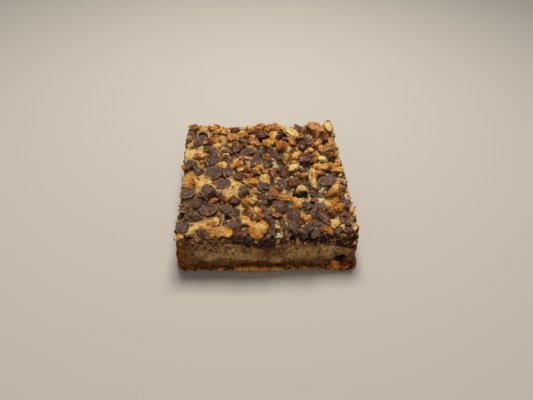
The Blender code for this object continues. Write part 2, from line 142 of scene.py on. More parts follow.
@dataclass(frozen=True)
class CutSquare:
    """The outline of the cut bar and the heights of its layers."""

    base_half_width: float = 41.4
    base_half_depth: float = 42.5
    top_half_depth: float = 42.0
    front_taper: float = 0.070
    back_taper: float = -0.015
    skew: float = 1.0
    corner_power: float = 30
    outward_power: float = 12
    face_share: float = 0.9
    broken_from: float = 2.0
    broken_to: float = 44.0
    broken_ease: float = 8.0
    broken_foot: float = 14.0
    broken_depth: float = 3.4
    base_top: float = 3.0
    filling_top: float = 16.0
    chocolate_top: float = 18.8
    crust_top: float = 21.2
    back_rise: float = 0.5
    rim_margin: float = 1.2
    rim_droop: float = 0.6
    rim_reach: float = 1.8
    gap: float = 0.3
    clearance: float = 0.3
    thinnest_crust: float = 0.9

    def broken_back(self, x: Array, height: Array | float) -> Array:
        """How far the broken part of the front stands back at that height."""
        along = ease((x - self.broken_from) / self.broken_ease) * ease((self.broken_to - x) / self.broken_ease)
        rise = (height - self.broken_foot) / (self.crust_top - self.broken_foot)
        return self.broken_depth * along * ease(rise)

    def at(self, u: Array, v: Array, height: Array | float) -> tuple[Array, Array]:
        """The plan position of points of the unit square at that height.

        Args:
            u: from -1 at the left to 1 at the right.
            v: from -1 at the front to 1 at the back.
            height: above the underside.

        Returns:
            x and y.
        """
        smaller, larger = np.minimum(abs(u), abs(v)), np.maximum(abs(u), abs(v))
        lean = smaller / np.maximum(larger, 1e-9)
        corner = (1 + lean**self.corner_power) ** (-1 / self.corner_power)
        back = (v + 1) / 2
        taper = self.front_taper + (self.back_taper - self.front_taper) * back
        half_width = self.base_half_width - taper * height
        half_depth = self.base_half_depth + (self.top_half_depth - self.base_half_depth) * height / self.crust_top
        half_depth = half_depth - np.where(v < 0, self.broken_back(u * half_width, height) * v * v, 0)
        return u * corner * half_width - self.skew * back * height / self.crust_top, v * corner * half_depth

    def pushed_out(self, u: Array, v: Array, z: Array, distance: Array) -> Array:
        """Points of the cut at that height, moved outwards by the distance."""
        x, y = self.at(u, v, z)
        out_x = np.copysign(abs(u) ** self.outward_power, u)
        out_y = np.copysign(abs(v) ** self.outward_power, v)
        length = np.hypot(out_x, out_y)
        return columns(x + out_x / length * distance, y + out_y / length * distance, z)

    def on_cut(self, side: int, along: float, z: float, fine: float, inwards: float) -> Array:
        """One place on the swelling cuts.

        Args:
            side: 0 for the front, 1 for the right, 2 for the back and 3 for the left.
            along: the place along that side, from -1 to 1.
            z: its height.
            fine: the height of the shorter swells.
            inwards: how far the place stands back.

        Returns:
            x, y and z.
        """
        u, v = ((along, -1.0), (1.0, along), (-along, 1.0), (-1.0, -along))[side]
        place = np.array([u]), np.array([v]), np.array([z])
        plain = self.pushed_out(*place, np.zeros(1))
        return self.pushed_out(*place, cut_swell(plain, fine) - inwards)[0]

    def at_front(self, y: Array) -> Array:
        """Whether places on the cuts are on the front one."""
        return y < -self.face_share * self.base_half_depth

    def face_height(self, mean: float, x: Array, y: Array) -> Array:
        """The height of a face between two layers, which wanders and swells a little."""
        if mean == 0:
            return np.zeros_like(x)
        height = mean + 0.6 * mean / self.crust_top * ripples(columns(x, y, 0), 0.055, 3.0 + mean)
        if mean == self.filling_top:
            height = height + sum(p.rise * p.over(x, y) for p in FILLING_SWELLS)
        return height

    def crust_height(self, x: Array, y: Array) -> Array:
        """The height of the baked crust between its chips and nuts, without fine relief."""
        flat = columns(x, y, 0)
        z = self.crust_top + 0.6 * ripples(flat, 0.06, 19.0) + 0.5 * ripples(flat, 0.17, 23.0)
        z = z + self.back_rise * np.where(y > 0, y / self.top_half_depth, 0) ** 2
        for patch in BARE_PATCHES + CUSTARD + PITS:
            z = z + patch.rise * patch.over(x, y)
        edge = np.minimum(self.base_half_width - self.rim_margin - abs(x), self.top_half_depth + np.minimum(y, 0))
        z = z - self.rim_droop * bell(np.maximum(edge, 0), self.rim_reach)
        floor = self.fan_height(self.chocolate_top, x, y) + self.gap + self.thinnest_crust
        return np.maximum(z, floor)

    def fan_height(self, mean: float, x: Array, y: Array) -> Array:
        """The height inside the bar of the plain face between two layers."""
        share = np.maximum(abs(x) / self.base_half_width, abs(y) / self.base_half_depth)
        share = np.maximum(share, 1e-6)
        middle = self.face_height(mean, np.zeros(1), np.zeros(1))[0]
        return middle + (self.face_height(mean, x / share, y / share) - middle) * share


FILLING_SWELLS = (
    Patch(-22.0, -42.0, 11.0, 2.1),
    Patch(-4.0, -42.0, 6.5, -1.9),
    Patch(9.0, -42.0, 6.0, 0.9),
    Patch(38.0, -42.0, 7.0, -3.4),
    Patch(42.0, 6.0, 10.0, 1.0),
    Patch(-42.0, 18.0, 12.0, -1.2),
    Patch(-12.0, 42.0, 9.0, -1.3),
    Patch(22.0, 42.0, 8.0, 1.2),
)
BARE_PATCHES = (
    Patch(-16.0, -9.5, 5.5, 0.9),
    Patch(-31.0, -6.0, 4.5, 1.0),
    Patch(-28.5, -35.0, 5.0, 1.0),
    Patch(-38.0, 17.0, 4.5, 1.3),
    Patch(-38.0, -3.5, 4.0, 1.5),
    Patch(-34.0, 38.5, 4.0, 1.6),
    Patch(39.0, 41.0, 4.5, 2.0),
)
# Pale custard that shows between the chips.
CUSTARD = (
    Patch(25.8, -18.8, 2.0, 0.9, 0.15),
    Patch(4.4, -40.2, 1.2, 0.2, 0.3),
    Patch(10.9, -39.9, 1.5, 0.4, 0.3),
)
PITS = (
    Patch(14.2, -14.6, 1.9, -3.6, 0.16),
    Patch(18.2, -14.4, 2.1, -3.6, 0.16),
    Patch(-1.5, 20.7, 2.2, -3.2, 0.2),
    Patch(-1.0, 29.2, 2.2, -3.0, 0.2),
    Patch(2.4, 21.6, 1.8, -2.6, 0.2),
    Patch(-18.2, -28.7, 1.7, -2.8, 0.2),
    Patch(-35.4, -40.6, 1.5, -3.4, 0.25),
    Patch(-33.0, -40.4, 1.0, -2.4, 0.25),
    Patch(36.4, -34.2, 1.5, -3.0, 0.2),
)


class BitKind(Enum):
    """What a bit on the crust is."""

    CHIP = "chip"
    WALNUT = "walnut"
    PECAN = "pecan"


@dataclass(frozen=True)
class Bit:
    """A chip or a nut on the crust: its middle, size, turn and tilt in degrees, and how far it browned."""

    kind: BitKind
    x: float
    y: float
    length: float
    width: float
    heading: float
    tilt: float = 0
    warmth: float = 0.5

    def matrix(self, ground: float) -> Matrix:
        """Where the bit lies on a crust of that height: turned, tilted, and partly sunk."""
        share = 0.02 if self.kind is BitKind.CHIP else 0.12
        place = Vector((self.x, self.y, ground + share * self.width))
        turned = Matrix.Rotation(math.radians(self.heading), 4, "Z")
        return Matrix.Translation(place) @ turned @ Matrix.Rotation(math.radians(self.tilt), 4, "Y")


def bits_of(bits: Sequence[Bit], kind: BitKind) -> list[Bit]:
    """The bits of one kind."""
    return [bit for bit in bits if bit.kind is kind]


# x, y, length, width, heading, tilt. A tilt of 180 shows the hollow foot.
LARGE_CHIPS = (
    (11.5, -28.6, 11.2, 6.0, 81, 12), (17.2, -22.6, 6.3, 5.3, 136, 35), (23.1, -15.2, 6.6, 3.1, 143, 20),
    (21.3, -19.7, 5.0, 2.4, 90, 60), (22.7, -25.3, 6.7, 4.9, 49, 170), (7.0, -23.9, 7.5, 6.8, 0, 25),
    (5.8, -31.3, 6.1, 2.7, 97, 15), (7.5, -38.0, 6.8, 4.0, 104, 20), (12.5, -36.4, 5.6, 4.8, 0, 40),
    (19.0, -34.7, 8.2, 3.6, 37, 20), (15.8, -39.4, 6.3, 3.9, 42, 60), (33.2, -31.2, 5.8, 3.7, 90, 30),
    (36.8, -22.9, 3.8, 3.6, 0, 165), (35.9, -16.1, 5.7, 2.9, 90, 15), (30.9, -5.6, 7.6, 6.8, 0, 175),
    (8.4, -7.5, 6.2, 3.2, 90, 165), (0.0, -8.5, 6.1, 3.7, 90, 30), (2.0, -16.7, 6.5, 3.8, 90, 40),
    (1.4, -33.1, 9.5, 3.6, 96, 10), (0.1, -27.6, 4.6, 3.3, 0, 170), (-20.6, -7.2, 6.3, 6.1, 0, 176),
    (-26.5, -13.5, 7.1, 8.5, 0, 30), (-37.4, -14.0, 6.1, 6.4, 0, 172), (-32.2, -20.0, 6.2, 6.2, 0, 20),
    (-26.8, -25.1, 7.0, 6.6, 0, 168), (-32.5, -30.0, 7.3, 5.2, 0, 25), (-37.9, -34.1, 7.8, 4.8, 90, 20),
    (-37.6, -25.2, 5.6, 3.7, 67, 50), (-19.1, -24.6, 5.0, 5.5, 0, 172), (-14.5, -25.9, 4.1, 5.1, 0, 20),
    (-9.9, -13.3, 5.7, 5.9, 0, 35), (-3.2, -16.2, 7.6, 4.7, 140, 15), (-1.3, -9.2, 4.9, 5.7, 0, 40),
    (-15.3, -34.0, 7.1, 4.0, 0, 170), (-29.2, -39.0, 7.6, 3.6, 154, 20), (-38.8, 34.9, 4.8, 6.2, 0, 25),
    (-34.7, 28.4, 8.2, 5.2, 55, 172), (-30.6, 21.0, 7.3, 4.4, 90, 30), (-27.2, 12.0, 7.6, 8.6, 0, 6),
    (-36.9, 6.9, 5.8, 7.0, 0, 30), (-32.6, 2.9, 5.5, 5.9, 0, 40), (-25.9, 0.4, 7.9, 8.7, 0, 174),
    (-12.9, -1.8, 5.9, 5.1, 41, 40), (-9.8, 16.9, 9.2, 7.2, 0, 170), (-4.6, 10.7, 5.0, 5.9, 0, 168),
    (-0.8, 18.0, 5.1, 6.5, 0, 30), (-19.6, 23.0, 3.2, 4.1, 0, 40), (-27.5, 32.7, 5.4, 3.0, 90, 30),
    (-23.8, 28.4, 3.0, 3.8, 0, 60), (3.8, 18.0, 8.4, 4.8, 126, 20), (6.9, 13.6, 7.5, 4.1, 150, 30),
    (21.4, 40.6, 5.0, 5.8, 0, 40), (24.6, 28.1, 7.1, 4.4, 109, 20),
)
# x, y, length, width, heading, warmth.
LARGE_WALNUTS = (
    (4.0, -13.5, 6.3, 4.5, 68, 0.62), (6.8, -17.4, 8.1, 4.5, 155, 0.52), (17.5, -11.0, 5.9, 4.2, 0, 0.08),
    (23.9, -7.4, 9.1, 3.8, 97, 0.25), (34.5, -10.0, 5.9, 4.2, 90, 0.22), (31.7, -14.6, 8.4, 4.7, 33, 0.45),
    (28.9, -21.9, 6.1, 3.1, 136, 0.38), (33.2, -25.1, 5.2, 5.5, 0, 0.52), (29.2, -27.4, 3.7, 3.8, 0, 0.72),
    (29.5, -34.7, 5.2, 4.9, 0, 0.42), (16.9, -31.0, 6.6, 4.1, 148, 0.5), (38.6, -17.5, 5.4, 3.6, 90, 0.12),
    (-2.4, -36.3, 6.8, 3.5, 90, 0.5), (4.0, -35.6, 2.7, 2.6, 0, 0.1), (39.6, -25.0, 4.8, 2.4, 67, 0.15),
    (24.2, -37.7, 4.5, 3.1, 0, 0.7), (-20.4, -18.1, 4.7, 4.3, 0, 0.85), (-9.8, -20.9, 5.9, 4.4, 90, 0.58),
    (-4.6, -25.7, 5.9, 3.3, 112, 0.42), (-3.5, -30.4, 4.0, 4.3, 0, 0.75), (-10.0, -32.4, 7.1, 4.7, 142, 0.34),
    (-4.4, -38.4, 8.5, 7.4, 26, 0.58), (-19.0, -39.1, 6.4, 5.1, 0, 0.4), (-23.7, -32.8, 5.8, 4.4, 13, 0.3),
    (-7.4, -6.9, 7.4, 5.4, 165, 0.44), (-37.2, -8.0, 5.8, 6.0, 0, 0.38), (-25.0, -18.9, 6.0, 3.1, 40, 0.6),
    (-26.5, 40.7, 6.5, 4.1, 90, 0.66), (-22.3, 36.2, 6.6, 3.8, 124, 0.34), (-12.8, 32.5, 9.6, 4.5, 50, 0.34),
    (-7.6, 37.9, 4.4, 5.4, 0, 0.42), (-1.3, 39.3, 6.3, 5.5, 0, 0.66), (-5.3, 25.4, 7.7, 6.2, 149, 0.58),
    (-25.2, 22.0, 5.7, 4.6, 31, 0.48), (-20.4, 14.4, 4.5, 3.8, 137, 0.05), (-21.3, 6.6, 5.1, 4.7, 0, 0.28),
    (-14.3, 6.6, 7.2, 4.5, 23, 0.42), (-8.7, 12.7, 9.1, 2.7, 0, 0.48), (-9.0, 2.9, 4.1, 4.7, 0, 0.72),
    (-2.9, 5.0, 5.1, 3.5, 0, 0.4), (3.2, 38.7, 6.8, 4.6, 90, 0.52), (7.4, 41.7, 5.5, 6.1, 0, 0.34),
    (11.3, 39.7, 3.8, 4.5, 0, 0.14), (16.3, 33.6, 10.7, 6.2, 130, 0.22), (30.0, 39.7, 10.5, 6.6, 148, 0.38),
    (37.9, 41.7, 8.2, 4.4, 84, 0.24), (37.2, 27.3, 6.7, 3.4, 90, 0.3), (2.4, 25.1, 5.5, 6.1, 0, 0.46),
    (9.9, 22.3, 5.8, 6.7, 0, 0.58), (16.4, 25.7, 4.2, 5.0, 0, 0.56), (28.1, 23.3, 4.2, 3.1, 0, 0.55),
    (31.9, 20.1, 6.5, 5.3, 157, 0.55), (36.4, 15.3, 5.7, 4.7, 0, 0.58), (27.2, 14.3, 4.6, 4.4, 0, 0.34),
    (30.9, 11.7, 6.4, 4.3, 128, 0.22), (11.2, 11.2, 4.0, 4.7, 0, 0.48), (1.3, 12.7, 6.7, 3.2, 93, 0.6),
    (14.4, 4.0, 6.2, 5.5, 0, 0.1), (3.8, -0.1, 7.8, 3.8, 103, 0.64), (24.4, 0.1, 11.6, 4.4, 80, 0.28),
    (32.4, 5.6, 6.3, 4.6, 29, 0.36), (37.1, 2.8, 6.9, 5.5, 158, 0.26), (-4.7, 0.0, 5.3, 5.4, 0, 0.66),
    (39.1, 21.0, 3.9, 2.7, 0, 0.6), (-40.6, 5.5, 4.6, 4.4, 70, 0.6), (-40.6, 31.0, 4.4, 4.0, 90, 0.4),
    (-28.5, 38.8, 5.6, 4.6, 10, 0.4), (38.8, 9.5, 4.6, 3.6, 90, 0.6), (-34.0, 13.5, 6.4, 4.4, 20, 0.35),
)
LARGE_PECANS = (
    (14.4, -7.2, 7.5, 5.8, 0, 0.82), (25.1, -29.9, 11.2, 4.4, 112, 0.8), (-15.4, -19.7, 5.6, 4.8, 146, 0.95),
    (-9.4, -26.6, 4.3, 4.4, 0, 0.8), (-13.1, -39.8, 6.5, 5.3, 0, 0.8), (-15.4, 37.5, 5.8, 5.2, 148, 0.85),
    (-15.2, 19.6, 9.7, 5.8, 63, 0.82), (-3.1, 0.7, 3.7, 2.9, 0, 0.88), (-1.6, 33.3, 7.4, 5.5, 0, 0.85),
    (7.2, 31.5, 7.9, 7.3, 0, 0.5), (34.4, 30.6, 7.8, 4.0, 77, 0.85), (21.3, 23.6, 8.7, 4.5, 81, 0.95),
    (16.3, 18.3, 6.3, 3.3, 110, 0.82), (20.4, 10.9, 10.0, 5.9, 15, 0.85), (9.6, 0.7, 9.4, 4.6, 77, 0.95),
)
# Small broken pieces right at the front edge: whether chocolate, x, y, length, width, heading.
EDGE_PIECES = (
    (False, -39.0, -40.9, 4.0, 2.8, 20), (False, -33.0, -39.6, 2.6, 1.6, 110), (False, -25.2, -40.4, 4.6, 3.0, 10),
    (True, -9.4, -41.2, 3.6, 2.8, 15), (True, -8.0, -41.0, 3.2, 2.6, 70), (True, -0.4, -40.6, 4.4, 3.4, 20),
    (True, 1.2, -39.6, 3.4, 2.8, 60), (True, 14.6, -39.6, 4.6, 3.6, 130), (True, 18.0, -38.4, 6.0, 3.6, 40),
    (True, 23.6, -37.8, 5.0, 3.6, 150), (False, 26.6, -38.2, 3.6, 2.8, 30), (True, 30.4, -38.6, 4.2, 3.4, 70),
    (True, 35.0, -37.8, 4.6, 3.6, 20), (False, 38.6, -37.0, 3.6, 3.0, 60),
)


@dataclass(frozen=True)
class Strewing:
    """Where every chip and nut lies: the large ones by place, the small ones by rule."""

    square: CutSquare
    seed: int = 41
    tries: int = 6000
    count: int = 46
    narrowest: float = 3.2
    widest: float = 5.4
    margins: tuple[float, float] = (3.2, 2.2)
    closeness: float = 0.76
    chips_left: float = 0.62
    chips_right: float = 0.26
    chips_fade: float = 0.006
    chip_tilts: tuple[int, ...] = (20, 60, 100, 160)
    pecans_from: float = 0.85
    filler_count: int = 128
    filler_narrowest: float = 1.6
    filler_widest: float = 3.2
    late_filler_widest: float = 2.4
    filler_margins: tuple[float, float] = (2.6, 1.8)
    filler_closeness: float = 0.70
    filler_bare_share: float = 1.2
    filler_pecans_from: float = 0.88

    def bits(self) -> list[Bit]:
        """All the larger bits, those with a place of their own first."""
        bits = [Bit(BitKind.CHIP, *values) for values in LARGE_CHIPS]
        bits += [Bit(BitKind.WALNUT, *values, 0, warmth) for *values, warmth in LARGE_WALNUTS]
        bits += [Bit(BitKind.PECAN, *values, 0, warmth) for *values, warmth in LARGE_PECANS]
        return bits + self.strewn(bits)

    def clear_of(self, bits: Sequence[Bit], x: float, y: float, breadth: float, bare_share: float,
                 closeness: float) -> bool:
        """Whether a new bit would lie clear of bare crust, of pits and custard, and of the other bits.

        Args:
            bits: those that lie there already.
            x: the new bit's place from left to right.
            y: its place from front to back.
            breadth: how broad it is.
            bare_share: the share of a bare patch's reach that stays free.
            closeness: how near the middles of two bits may come, where 1 is side by side.
        """
        if any(math.hypot(x - p.x, y - p.y) < bare_share * p.reach for p in BARE_PATCHES):
            return False
        if any(math.hypot(x - p.x, y - p.y) < 0.9 * p.reach + 0.6 * breadth for p in PITS + CUSTARD):
            return False
        return all(
            math.hypot(x - b.x, y - b.y) > closeness * (breadth + math.sqrt(b.length * b.width)) / 2 for b in bits
        )

    def strewn(self, bits: list[Bit]) -> list[Bit]:
        """Smaller chips and nuts in the gaps, more chips to the left and more nuts to the right."""
        draw = random.Random(self.seed)
        half_width = self.square.base_half_width - self.margins[0]
        half_depth = self.square.top_half_depth - self.margins[1]
        found: list[Bit] = []
        for _ in range(self.tries):
            if len(found) == self.count:
                break
            x, y = draw.uniform(-1, 1) * half_width, draw.uniform(-1, 1) * half_depth
            breadth = draw.uniform(self.narrowest, self.widest)
            pick, stretch = draw.random(), draw.uniform(1.0, 1.7)
            heading, tilt = draw.uniform(0, 360), draw.choice(self.chip_tilts)
            if not self.clear_of(bits + found, x, y, breadth, 1.0, self.closeness):
                continue
            across = (x / self.square.base_half_width + 1) / 2
            chips = self.chips_left + (self.chips_right - self.chips_left) * across - self.chips_fade * y
            if pick < chips:
                found.append(Bit(BitKind.CHIP, x, y, breadth, breadth, heading, tilt))
            else:
                kind = BitKind.PECAN if pick > self.pecans_from else BitKind.WALNUT
                found.append(Bit(kind, x, y, breadth * stretch, breadth, heading, 0, draw.uniform(0.2, 0.75)))
        return found

    def fillers(self, bits: Sequence[Bit], dark: Callable[[float, float], float]) -> list[Bit]:
        """Broken chips and nuts that fill the gaps between the larger bits.

        Args:
            bits: the larger bits.
            dark: gives the share of chocolate at a place.

        Returns:
            The fillers alone.
        """
        draw = random.Random(self.seed + 1)
        half_width = self.square.base_half_width - self.filler_margins[0]
        half_depth = self.square.top_half_depth - self.filler_margins[1]
        found = [Bit(BitKind.CHIP if chocolate else BitKind.WALNUT, *values) for chocolate, *values in EDGE_PIECES]
        for attempt in range(3 * self.tries):
            if len(found) == self.filler_count:
                break
            x, y = draw.uniform(-1, 1) * half_width, draw.uniform(-1, 1) * half_depth
            widest = self.filler_widest if attempt < self.tries else self.late_filler_widest
            breadth, pick = draw.uniform(self.filler_narrowest, widest), draw.random()
            stretch, heading = draw.uniform(1.0, 1.8), draw.uniform(0, 360)
            if not self.clear_of([*bits, *found], x, y, breadth, self.filler_bare_share, self.filler_closeness):
                continue
            nut = BitKind.PECAN if pick > self.filler_pecans_from else BitKind.WALNUT
            kind = BitKind.CHIP if pick < dark(x, y) else nut
            found.append(Bit(kind, x, y, breadth * stretch, breadth, heading, 0, draw.uniform(0.15, 0.8)))
        return found


# -------- meshes


def deselect_all() -> None:
    """Leaves nothing selected, so that an operator acts on the new piece alone."""
    if bpy.context.mode != "OBJECT":
        bpy.ops.object.mode_set(mode="OBJECT")
    bpy.ops.object.select_all(action="DESELECT")


def coordinates(obj: Object) -> Array:
    """The vertices of a mesh object as an array."""
    flat = np.empty(len(obj.data.vertices) * 3)
    obj.data.vertices.foreach_get("co", flat)
    return flat.reshape(-1, 3)


def place_vertices(obj: Object, points_mm: Array) -> None:
    """Writes vertex places given in millimetres."""
    obj.data.vertices.foreach_set("co", (points_mm * MM).ravel())
    obj.data.update()


def add_measure(obj: Object, name: str, values: Array) -> None:
    """Stores one number for each vertex, which a finish reads by name."""
    attribute = obj.data.attributes.new(name, "FLOAT", "POINT")
    attribute.data.foreach_set("value", np.asarray(values, np.float32))


def outward_faces(obj: Object) -> None:
    """Points every face outwards and shades the piece smooth."""
    bpy.context.view_layer.objects.active = obj
    obj.select_set(True)
    bpy.ops.object.mode_set(mode="EDIT")
    bpy.ops.mesh.select_all(action="SELECT")
    bpy.ops.mesh.normals_make_consistent(inside=False)
    bpy.ops.object.mode_set(mode="OBJECT")
    bpy.ops.object.shade_smooth()
    deselect_all()


def finish_piece(obj: Object, name: str, material: Material, slot: str, *nodes: str) -> None:
    """Names and dresses a piece, and puts it on the bar's body.

    Args:
        obj: the piece, with its place in its mesh.
        name: its name.
        material: its finish.
        slot: not used.
        nodes: the solids that it stands for.
    """
    obj.name = obj.data.name = name
    obj.data.materials.clear()
    obj.data.materials.append(material)
    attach(obj, BODY)
    if nodes:
        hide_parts(*nodes)
    log.info("%s: %d faces", name, len(obj.data.polygons))


@dataclass
class Pattern:
    """A shape modelled once, to be copied: its vertices in units of its size, faces and measures."""

    points: Array
    faces: Array
    measures: Measures


def pattern_of(obj: Object, points: Array, measures: Measures) -> Pattern:
    """Takes a primitive as a pattern with its vertices moved to those points, and clears it away."""
    mesh = obj.data
    mesh.calc_loop_triangles()
    faces = np.empty(len(mesh.loop_triangles) * 3, np.int32)
    mesh.loop_triangles.foreach_get("vertices", faces)
    pattern = Pattern(points, faces.reshape(-1, 3), measures)
    bpy.data.objects.remove(obj)
    bpy.data.meshes.remove(mesh)
    return pattern


def shaved(points: Array, towards: Vec3, reach: float, share: float) -> Array:
    """Points with what stands past a plane pressed back to it by that share."""
    normal = np.array(Vector(towards).normalized())
    past = np.maximum(points @ normal - reach, 0)
    return points - share * past[:, None] * normal


class Gathering:
    """Collects copies of patterns into one mesh."""

    def __init__(self) -> None:
        """Starts with nothing."""
        self.points: list[Array] = []
        self.faces: list[Array] = []
        self.measures: dict[str, list[Array]] = {}
        self.total = 0

    def add(self, points: Array, faces: Array, measures: Measures) -> None:
        """Adds one copy, placed in millimetres, and moves it inwards where it would pass the bar's reach."""
        low, high = np.array(REACH)
        over, under = np.maximum(points.max(axis=0) - high, 0), np.maximum(low - points.min(axis=0), 0)
        points = points - over + under
        self.points.append(points)
        self.faces.append(faces + self.total)
        for name, values in measures.items():
            self.measures.setdefault(name, []).append(np.broadcast_to(values, len(points)))
        self.total += len(points)

    def build(self, name: str, material: Material, slot: str, *nodes: str) -> None:
        """Makes the one piece of all the copies and dresses it."""
        points = np.concatenate(self.points)
        faces = np.concatenate(self.faces)
        mesh = bpy.data.meshes.new(name)
        mesh.vertices.add(len(points))
        mesh.loops.add(faces.size)
        mesh.polygons.add(len(faces))
        mesh.vertices.foreach_set("co", (points * MM).ravel())
        mesh.loops.foreach_set("vertex_index", faces.ravel())
        mesh.polygons.foreach_set("loop_start", np.arange(0, faces.size, 3))
        mesh.polygons.foreach_set("use_smooth", np.ones(len(faces), bool))
        mesh.update(calc_edges=True)
        mesh.validate()
        obj = bpy.data.objects.new(name, mesh)
        bpy.context.scene.collection.objects.link(obj)
        for key, values in self.measures.items():
            add_measure(obj, key, np.concatenate(values))
        finish_piece(obj, name, material, slot, *nodes)


# -------- finishes


def srgb(red: int, green: int, blue: int) -> Colour:
    """A colour read off a screen, as the shader takes it."""
    shares = (red / 255, green / 255, blue / 255)
    return tuple(c / 12.92 if c <= 0.04045 else ((c + 0.055) / 1.055) ** 2.4 for c in shares)


class FinishBench:
    """Builds one material from nodes. Patterns are in millimetres of the piece's own place."""

    def __init__(self, name: str, roughness: float, specular: float = 0.5) -> None:
        """Makes the material with its fixed values on the shader's own sockets."""
        self.material = bpy.data.materials.new(name)
        self.material.use_nodes = True
        self.tree = self.material.node_tree
        self.shader = self.tree.nodes["Principled BSDF"]
        self.feed(self.shader, {"Roughness": roughness, "Specular IOR Level": specular})
        place = self.node("TexCoord", {}).outputs["Object"]
        self.place = self.node("Mapping", {"Vector": place, "Scale": (1 / MM, 1 / MM, 1 / MM)}).outputs["Vector"]

    def feed(self, node: bpy.types.Node, inputs: dict[str | int, object]) -> bpy.types.Node:
        """Links or sets inputs of a node, and gives the node back.

        Args:
            node: the node.
            inputs: for each input a value, a socket, or the name of a measure. A colour gets its alpha.

        Returns:
            The same node.
        """
        for key, value in inputs.items():
            socket = node.inputs[key]
            if isinstance(value, str):
                value = self.measure(value)
            if isinstance(value, Socket):
                self.tree.links.new(value, socket)
            else:
                socket.default_value = (*value, 1) if socket.type == "RGBA" else value
        return node

    def node(self, kind: str, inputs: dict[str | int, object]) -> bpy.types.Node:
        """Adds a node with those inputs."""
        return self.feed(self.tree.nodes.new("ShaderNode" + kind), inputs)

    def noise(self, per_mm: float, detail: float = 3, roughness: float = 0.55, stretch: Vec3 = (1, 1, 1),
              distortion: float = 0) -> Socket:
        """A noise pattern of 0 to 1, stretched along the axes if asked."""
        vector = self.place
        if stretch != (1, 1, 1):
            vector = self.node("Mapping", {"Vector": vector, "Scale": stretch}).outputs["Vector"]
        inputs = {"Vector": vector, "Scale": per_mm, "Detail": detail, "Roughness": roughness}
        return self.node("TexNoise", {**inputs, "Distortion": distortion}).outputs["Fac"]

    def cells(self, per_mm: float, feature: str = "F1") -> Socket:
        """The distance from the middle of the nearest cell, or from its edge."""
        node = self.node("TexVoronoi", {"Vector": self.place, "Scale": per_mm})
        node.feature = feature
        return node.outputs["Distance"]

    def measure(self, name: str) -> Socket:
        """A number that is stored on the piece's vertices."""
        node = self.node("Attribute", {})
        node.attribute_name = name
        return node.outputs["Fac"]

    def ramp(self, factor: object, *stops: tuple[float, Colour]) -> Socket:
        """A run of colours along a factor."""
        node = self.node("ValToRGB", {"Fac": factor})
        elements = node.color_ramp.elements
        while len(elements) < len(stops):
            elements.new(0.5)
        for element, (position, colour) in zip(elements, stops):
            element.position = position
            element.color = (*colour, 1)
        return node.outputs["Color"]

    def span(self, factor: object, low: float, high: float, to_low: float = 0,
             to_high: float = 1) -> Socket:
        """Maps a number from one range to another, and clamps it."""
        inputs = {"Value": factor, "From Min": low, "From Max": high, "To Min": to_low, "To Max": to_high}
        return self.node("MapRange", inputs).outputs["Result"]

    def maths(self, operation: str, first: object, second: object) -> Socket:
        """One sum on numbers."""
        node = self.node("Math", {0: first, 1: second})
        node.operation = operation
        return node.outputs[0]

    def mix(self, factor: object, first: object, second: object) -> Socket:
        """Lays the second colour over the first by the factor."""
        node = self.node("Mix", {})
        node.data_type = "RGBA"
        return self.feed(node, {0: factor, 6: first, 7: second}).outputs[2]

    def colour(self, value: object) -> None:
        """Sets the base colour."""
        self.feed(self.shader, {"Base Color": value})

    def roughness(self, value: Socket) -> None:
        """Sets a roughness that varies."""
        self.feed(self.shader, {"Roughness": value})

    def bump(self, height: Socket, depth_mm: float, strength: float = 1.0) -> None:
        """Adds fine relief of that depth over what is there."""
        node = self.node("Bump", {"Height": height, "Distance": depth_mm * MM, "Strength": strength})
        normal = self.shader.inputs["Normal"]
        if normal.is_linked:
            self.feed(node, {"Normal": normal.links[0].from_socket})
        self.feed(self.shader, {"Normal": node.outputs["Normal"]})


@dataclass(frozen=True)
class CrumbFinish:
    """Pressed biscuit crumb, baked brown, with amber flakes by the `gold` measure and painted shade by the `hollow`
    one.
    """

    dark: Colour = srgb(44, 22, 6)
    brown: Colour = srgb(128, 64, 16)
    tan: Colour = srgb(196, 122, 50)
    amber: Colour = srgb(236, 128, 18)
    honey: Colour = srgb(250, 180, 76)
    shaded_hole: Colour = srgb(14, 8, 5)

    def material(self) -> Material:
        """The finish as a material."""
        bench = FinishBench("pressed_crumb", 0.72, 0.22)
        grain = bench.noise(0.9, 5, 0.68)
        colour = bench.ramp(grain, (0.36, self.dark), (0.49, self.brown), (0.62, self.tan))
        gold = bench.ramp(bench.noise(0.7, 4), (0.32, self.brown), (0.44, self.amber), (0.62, self.honey))
        colour = bench.mix("gold", colour, gold)
        # Painted shade: the hollow measure darkens the crumb towards a near-black.
        shade = bench.span("hollow", 0, 1, 1, 0.25)
        bench.colour(bench.mix(bench.maths("SUBTRACT", 1.0, shade), colour, self.shaded_hole))
        bench.bump(bench.noise(2.2, 4, 0.7), 0.35)
        return bench.material


